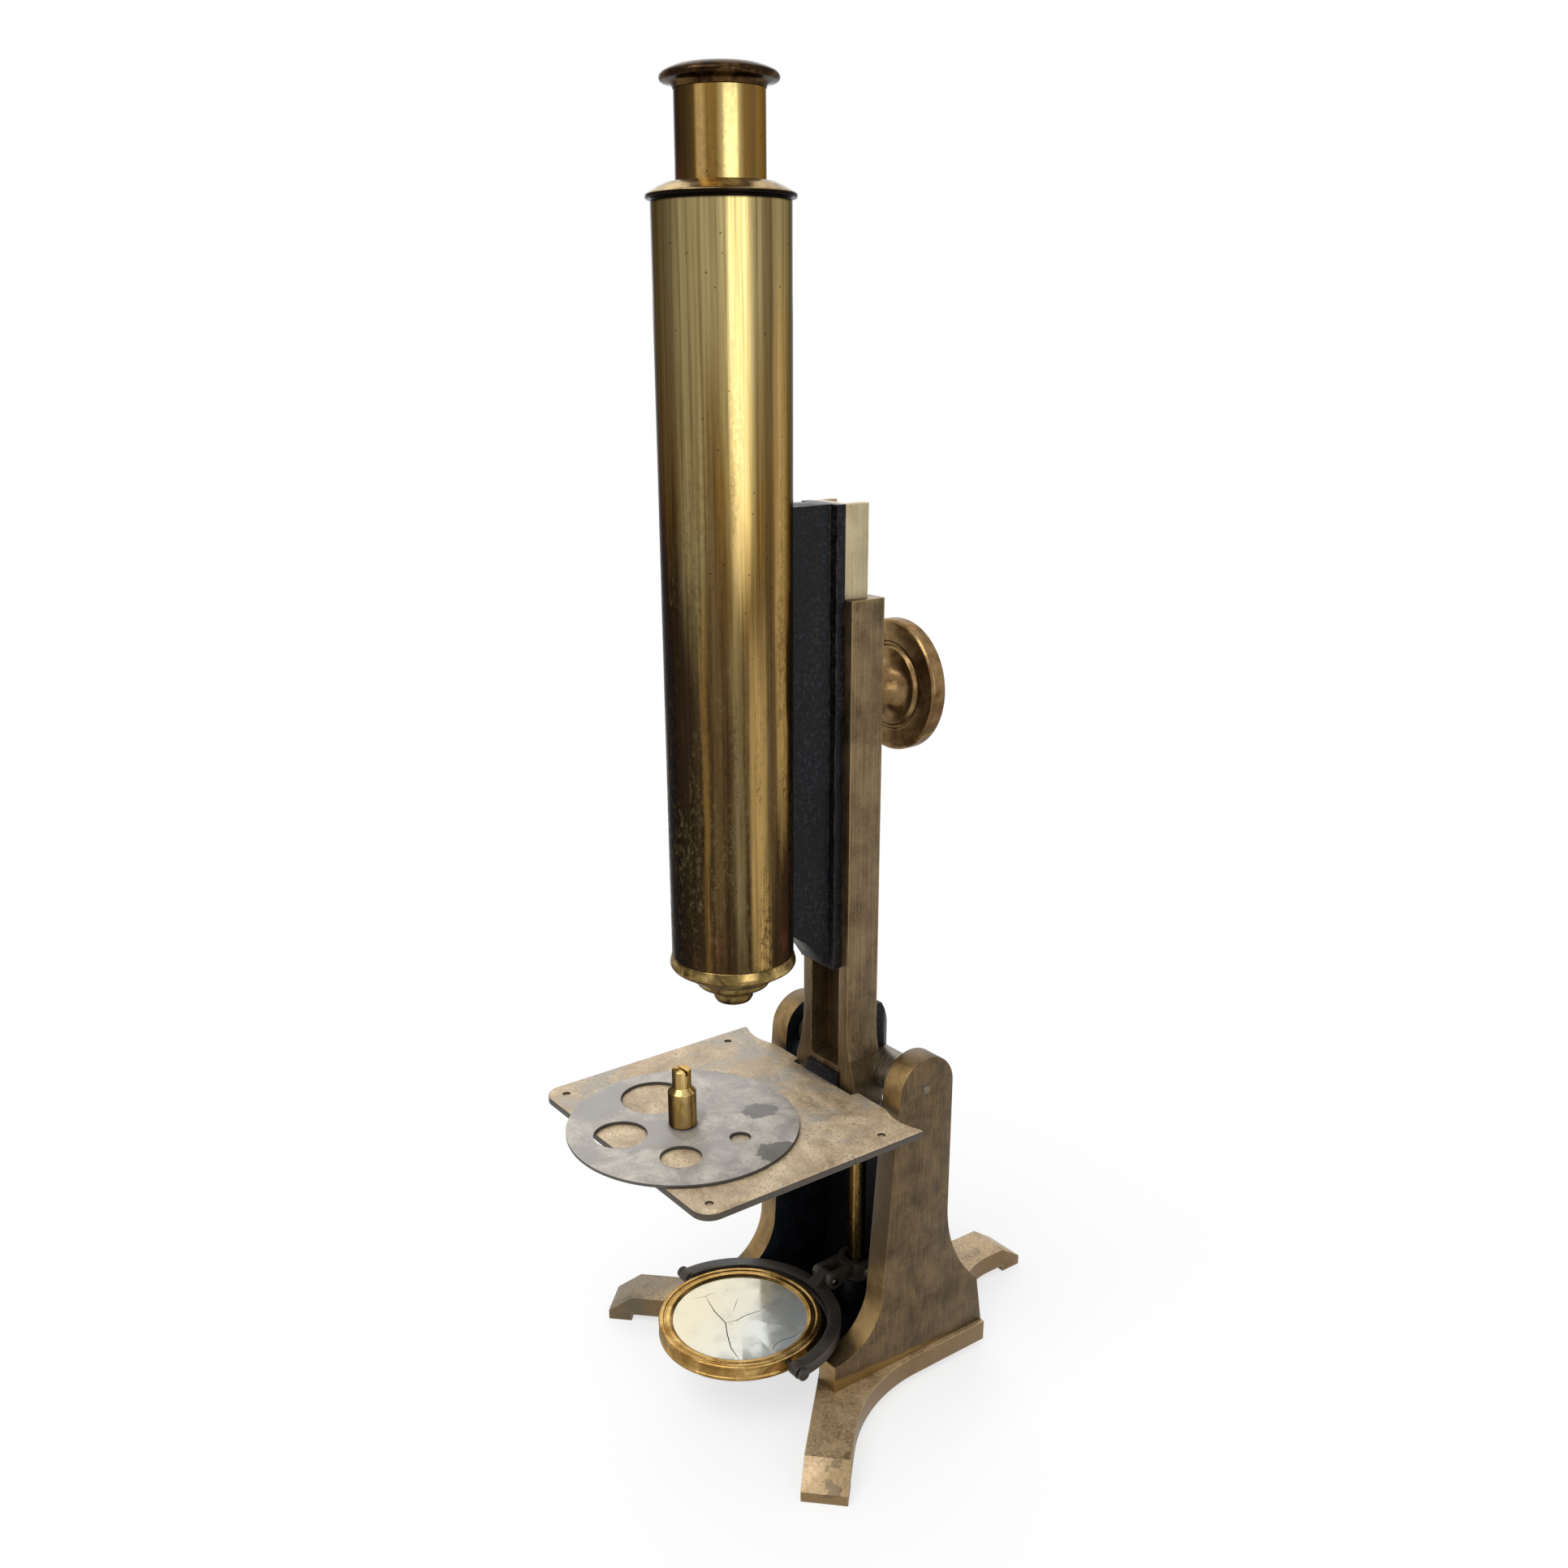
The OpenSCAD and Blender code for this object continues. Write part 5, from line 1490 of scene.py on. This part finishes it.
@dataclass
class MirrorUnit(Part):
    """Sleeve, arm, fork and the cracked mirror."""

    edge: float = 0.5
    sleeve_edge: float = 0.3
    screw_edge: float = 0.15
    back: float = 0.6
    height: float = 25
    rise: float = 2.4
    frame_height: float = 5.8
    frame_radius: float = 28
    frame_bore: float = 24.6
    sight: float = 23
    glass: float = 24.55
    glass_foot: float = 24.7
    glass_top: float = 26.5
    crack_depth: float = 0.7
    crack_end: float = 0.35

    def build(self) -> None:
        """Makes and dresses the pieces."""
        p = self.paints
        self.soft("rod_sleeve", self.sleeve_edge, p.black, Slot.BLACK, "mirror_sleeve")
        self.soft("mirror_arm", self.edge, p.arm, Slot.BRONZE, "mirror_arm")
        self.soft("mirror_fork", self.edge, p.bronze, Slot.BRONZE, "mirror_fork")
        self.soft("mirror_screws", self.screw_edge, p.bronze, Slot.BRONZE, "mirror_fork")
        paint_nodes(p.steel, "arm_screw", "fork_pin")
        paint_nodes(p.black, "mirror_backing")
        self.ring()
        self.shards()

    def ring(self) -> None:
        """Makes the mirror's frame with its beads."""
        top, r, inner, sight = self.frame_height, self.frame_radius, self.frame_bore, self.sight
        section = [
            (inner, 0), (r - 0.3, 0), (r, 0.3), (r, 1.2), (r - 0.35, 1.5), (r - 0.35, top - 1.4),
            (r, top - 1.1), (r, top - 0.4), (r - 0.4, top), (r - 1.5, top), (r - 1.9, top - 0.35),
            (r - 2.3, top - 0.35), (r - 2.6, top - 0.1), (sight + 1.2, top - 0.15), (sight, top - 0.9),
            (inner, top - 0.9),
        ]
        place = (0, AXIS_Y + self.back, self.height + self.rise - top)
        ring = turned("beaded_mirror_frame", section, place, rounding=0.15)
        dress(ring, self.paints.frame, Slot.BRIGHT, "mirror", "mirror_frame")

    def shards(self) -> None:
        """Makes the mirror glass with its cracks cut in."""
        foot, top = self.glass_foot, self.glass_top
        section = [(0, foot), (self.glass, foot), (self.glass, top), (0, top)]
        disc = turned("cracked_mirror_glass", section, (0, AXIS_Y + self.back, 0), rounding=0.1)
        cutter = self.blades(CRACKS)
        for obj in (disc, cutter):
            obj.data.materials.append(self.paints.mirror)
            obj.data.materials.append(self.paints.gap)
        for face in cutter.data.polygons:
            face.material_index = 1
        cut = disc.modifiers.new("cracks", "BOOLEAN")
        cut.object, cut.operation, cut.solver, cut.use_self = cutter, "DIFFERENCE", "EXACT", True
        apply_modifiers(disc)
        bpy.data.objects.remove(cutter)
        dress(smoothed(disc, 20), self.paints.mirror, Slot.MIRROR, "mirror", "mirror_glass")

    def blades(self, cracks: Iterable[Crack]) -> Thing:
        """Makes thin upright blades along the cracks.

        Args:
            cracks: The cracks.

        Returns:
            The blades as one object.
        """
        bm = bmesh.new()
        low, high = (self.glass_top - self.crack_depth) * MM, (self.glass_top + 0.5) * MM
        for crack in cracks:
            points, last = crack.points, len(crack.points) - 1
            left, right = [], []
            for i, point in enumerate(points):
                ahead, behind = points[min(i + 1, last)], points[max(i - 1, 0)]
                along = Vector((ahead[0] - behind[0], ahead[1] - behind[1])).normalized()
                half = crack.width / 2 * (self.crack_end if i in (0, last) else 1.0)
                side = Vector((-along.y, along.x)) * half
                middle = Vector((point[0], point[1] + AXIS_Y))
                left.append((middle + side) * MM)
                right.append((middle - side) * MM)
            loop = left + right[::-1]
            bottom, top = ([bm.verts.new((v.x, v.y, z)) for v in loop] for z in (low, high))
            for i in range(last):
                j = len(loop) - 1 - i
                bm.faces.new((bottom[i], bottom[i + 1], bottom[j - 1], bottom[j]))
                bm.faces.new((top[j], top[j - 1], top[i + 1], top[i]))
            for i in range(len(loop)):
                j = (i + 1) % len(loop)
                bm.faces.new((bottom[i], top[i], top[j], bottom[j]))
        bmesh.ops.recalc_face_normals(bm, faces=bm.faces)
        return as_object("crack_blades", bm)


@dataclass(frozen=True)
class Lamp:
    """One large soft lamp: its name, place, width and power."""

    name: str
    place: Triple
    size: float
    power: float


@dataclass
class Studio:
    """Camera of the photograph, soft lamps, white surroundings and a pale floor."""

    eye: Triple = (0.35491, -0.28302, 0.34239)
    azimuth: float = 53.83
    elevation: float = 19.67
    roll: float = -0.45
    lens: float = 34.29
    sensor: float = 36
    shift: Point = (0.0129, 0.0584)
    clip: Point = (0.01, 20)
    lamp_aim: Triple = (0, 0, 0.2)
    lamps: tuple[Lamp, ...] = (
        Lamp("key_lamp", (0.2, -0.85, 1.4), 1.0, 15.0),
        Lamp("side_lamp", (1.15, -0.2, 0.45), 0.7, 3.4),
        Lamp("back_lamp", (-0.9, 0.5, 0.9), 1.2, 5.0),
    )
    soft_light: float = 0.55
    floor_size: float = 6.0
    floor_drop: float = 0.0002
    floor_glow: float = 0.7
    shadow_reach: Point = (0.1, 0.28)

    def build(self) -> None:
        """Makes the camera, the lamps, the world and the floor."""
        self.camera()
        for lamp in self.lamps:
            self.light(lamp)
        self.world()
        self.floor()

    def camera(self) -> None:
        """Makes the camera."""
        az, el, roll = (math.radians(a) for a in (self.azimuth, self.elevation, self.roll))
        back = Vector((math.sin(az) * math.cos(el), -math.cos(az) * math.cos(el), math.sin(el)))
        level = Vector((math.cos(az), math.sin(az), 0))
        up = back.cross(level)
        right = level * math.cos(roll) + up * math.sin(roll)
        top = up * math.cos(roll) - level * math.sin(roll)
        data = bpy.data.cameras.new("photo_camera")
        data.sensor_width, data.sensor_fit, data.lens = self.sensor, "HORIZONTAL", self.lens
        data.shift_x, data.shift_y = self.shift
        data.clip_start, data.clip_end = self.clip
        obj = bpy.data.objects.new("photo_camera", data)
        bpy.context.scene.collection.objects.link(obj)
        turn = Matrix((right, top, back)).transposed().to_4x4()
        obj.matrix_world = Matrix.Translation(self.eye) @ turn
        bpy.context.scene.camera = obj

    def light(self, lamp: Lamp) -> None:
        """Makes a lamp.

        Args:
            lamp: Its place, size and power.
        """
        data = bpy.data.lights.new(lamp.name, "AREA")
        data.shape, data.size, data.energy = "SQUARE", lamp.size, lamp.power
        obj = bpy.data.objects.new(lamp.name, data)
        obj.location = lamp.place
        aim = Vector(self.lamp_aim) - obj.location
        obj.rotation_mode = "QUATERNION"
        obj.rotation_quaternion = aim.to_track_quat("-Z", "Y")
        bpy.context.scene.collection.objects.link(obj)

    def world(self) -> None:
        """Makes a white world that lights the object softly."""
        world = bpy.data.worlds.new("white_studio")
        bpy.context.scene.world = world
        world.use_nodes = True
        nodes = Nodes(world.node_tree)
        shade = world.node_tree.nodes["Background"]
        shade.inputs["Color"].default_value = (1, 1, 1, 1)
        nodes.join(nodes.seen().span(0, 1, self.soft_light, 1), shade.inputs["Strength"])

    def floor(self) -> None:
        """Makes the floor, which keeps the shadow near the object and is white further out."""
        bm = bmesh.new()
        bmesh.ops.create_circle(bm, cap_ends=True, segments=96, radius=self.floor_size)
        obj = as_object("studio_floor", bm)
        obj.location.z = -self.floor_drop
        s = Shade("pale_floor")
        fade = s.measure("DISTANCE", s.where, (0, 0, 0)).span(*self.shadow_reach, self.floor_glow, 1)
        mix = s.add("ShaderNodeMixShader")
        s.join(fade * s.seen(), mix.inputs[0])
        s.join(s.metal.outputs[0], mix.inputs[1])
        s.join(s.add("ShaderNodeEmission").outputs[0], mix.inputs[2])
        s.join(mix.outputs[0], s.out.inputs["Surface"])
        obj.data.materials.append(s.finish(0.8, 0.0))


def main() -> None:
    """Builds the microscope piece by piece, then its studio."""
    logging.basicConfig(level=logging.INFO, format="%(name)s: %(message)s")
    bpy.context.scene.view_settings.view_transform = "Standard"
    paints = Paints()
    for part in (Stand, Limb, Rack, Slide, BodyTube, Eyepiece, Knob, Stage, MirrorUnit):
        part(paints).build()
        LOG.info("%s is built", part.__name__)
    Studio().build()


if __name__ == "__main__":
    main()
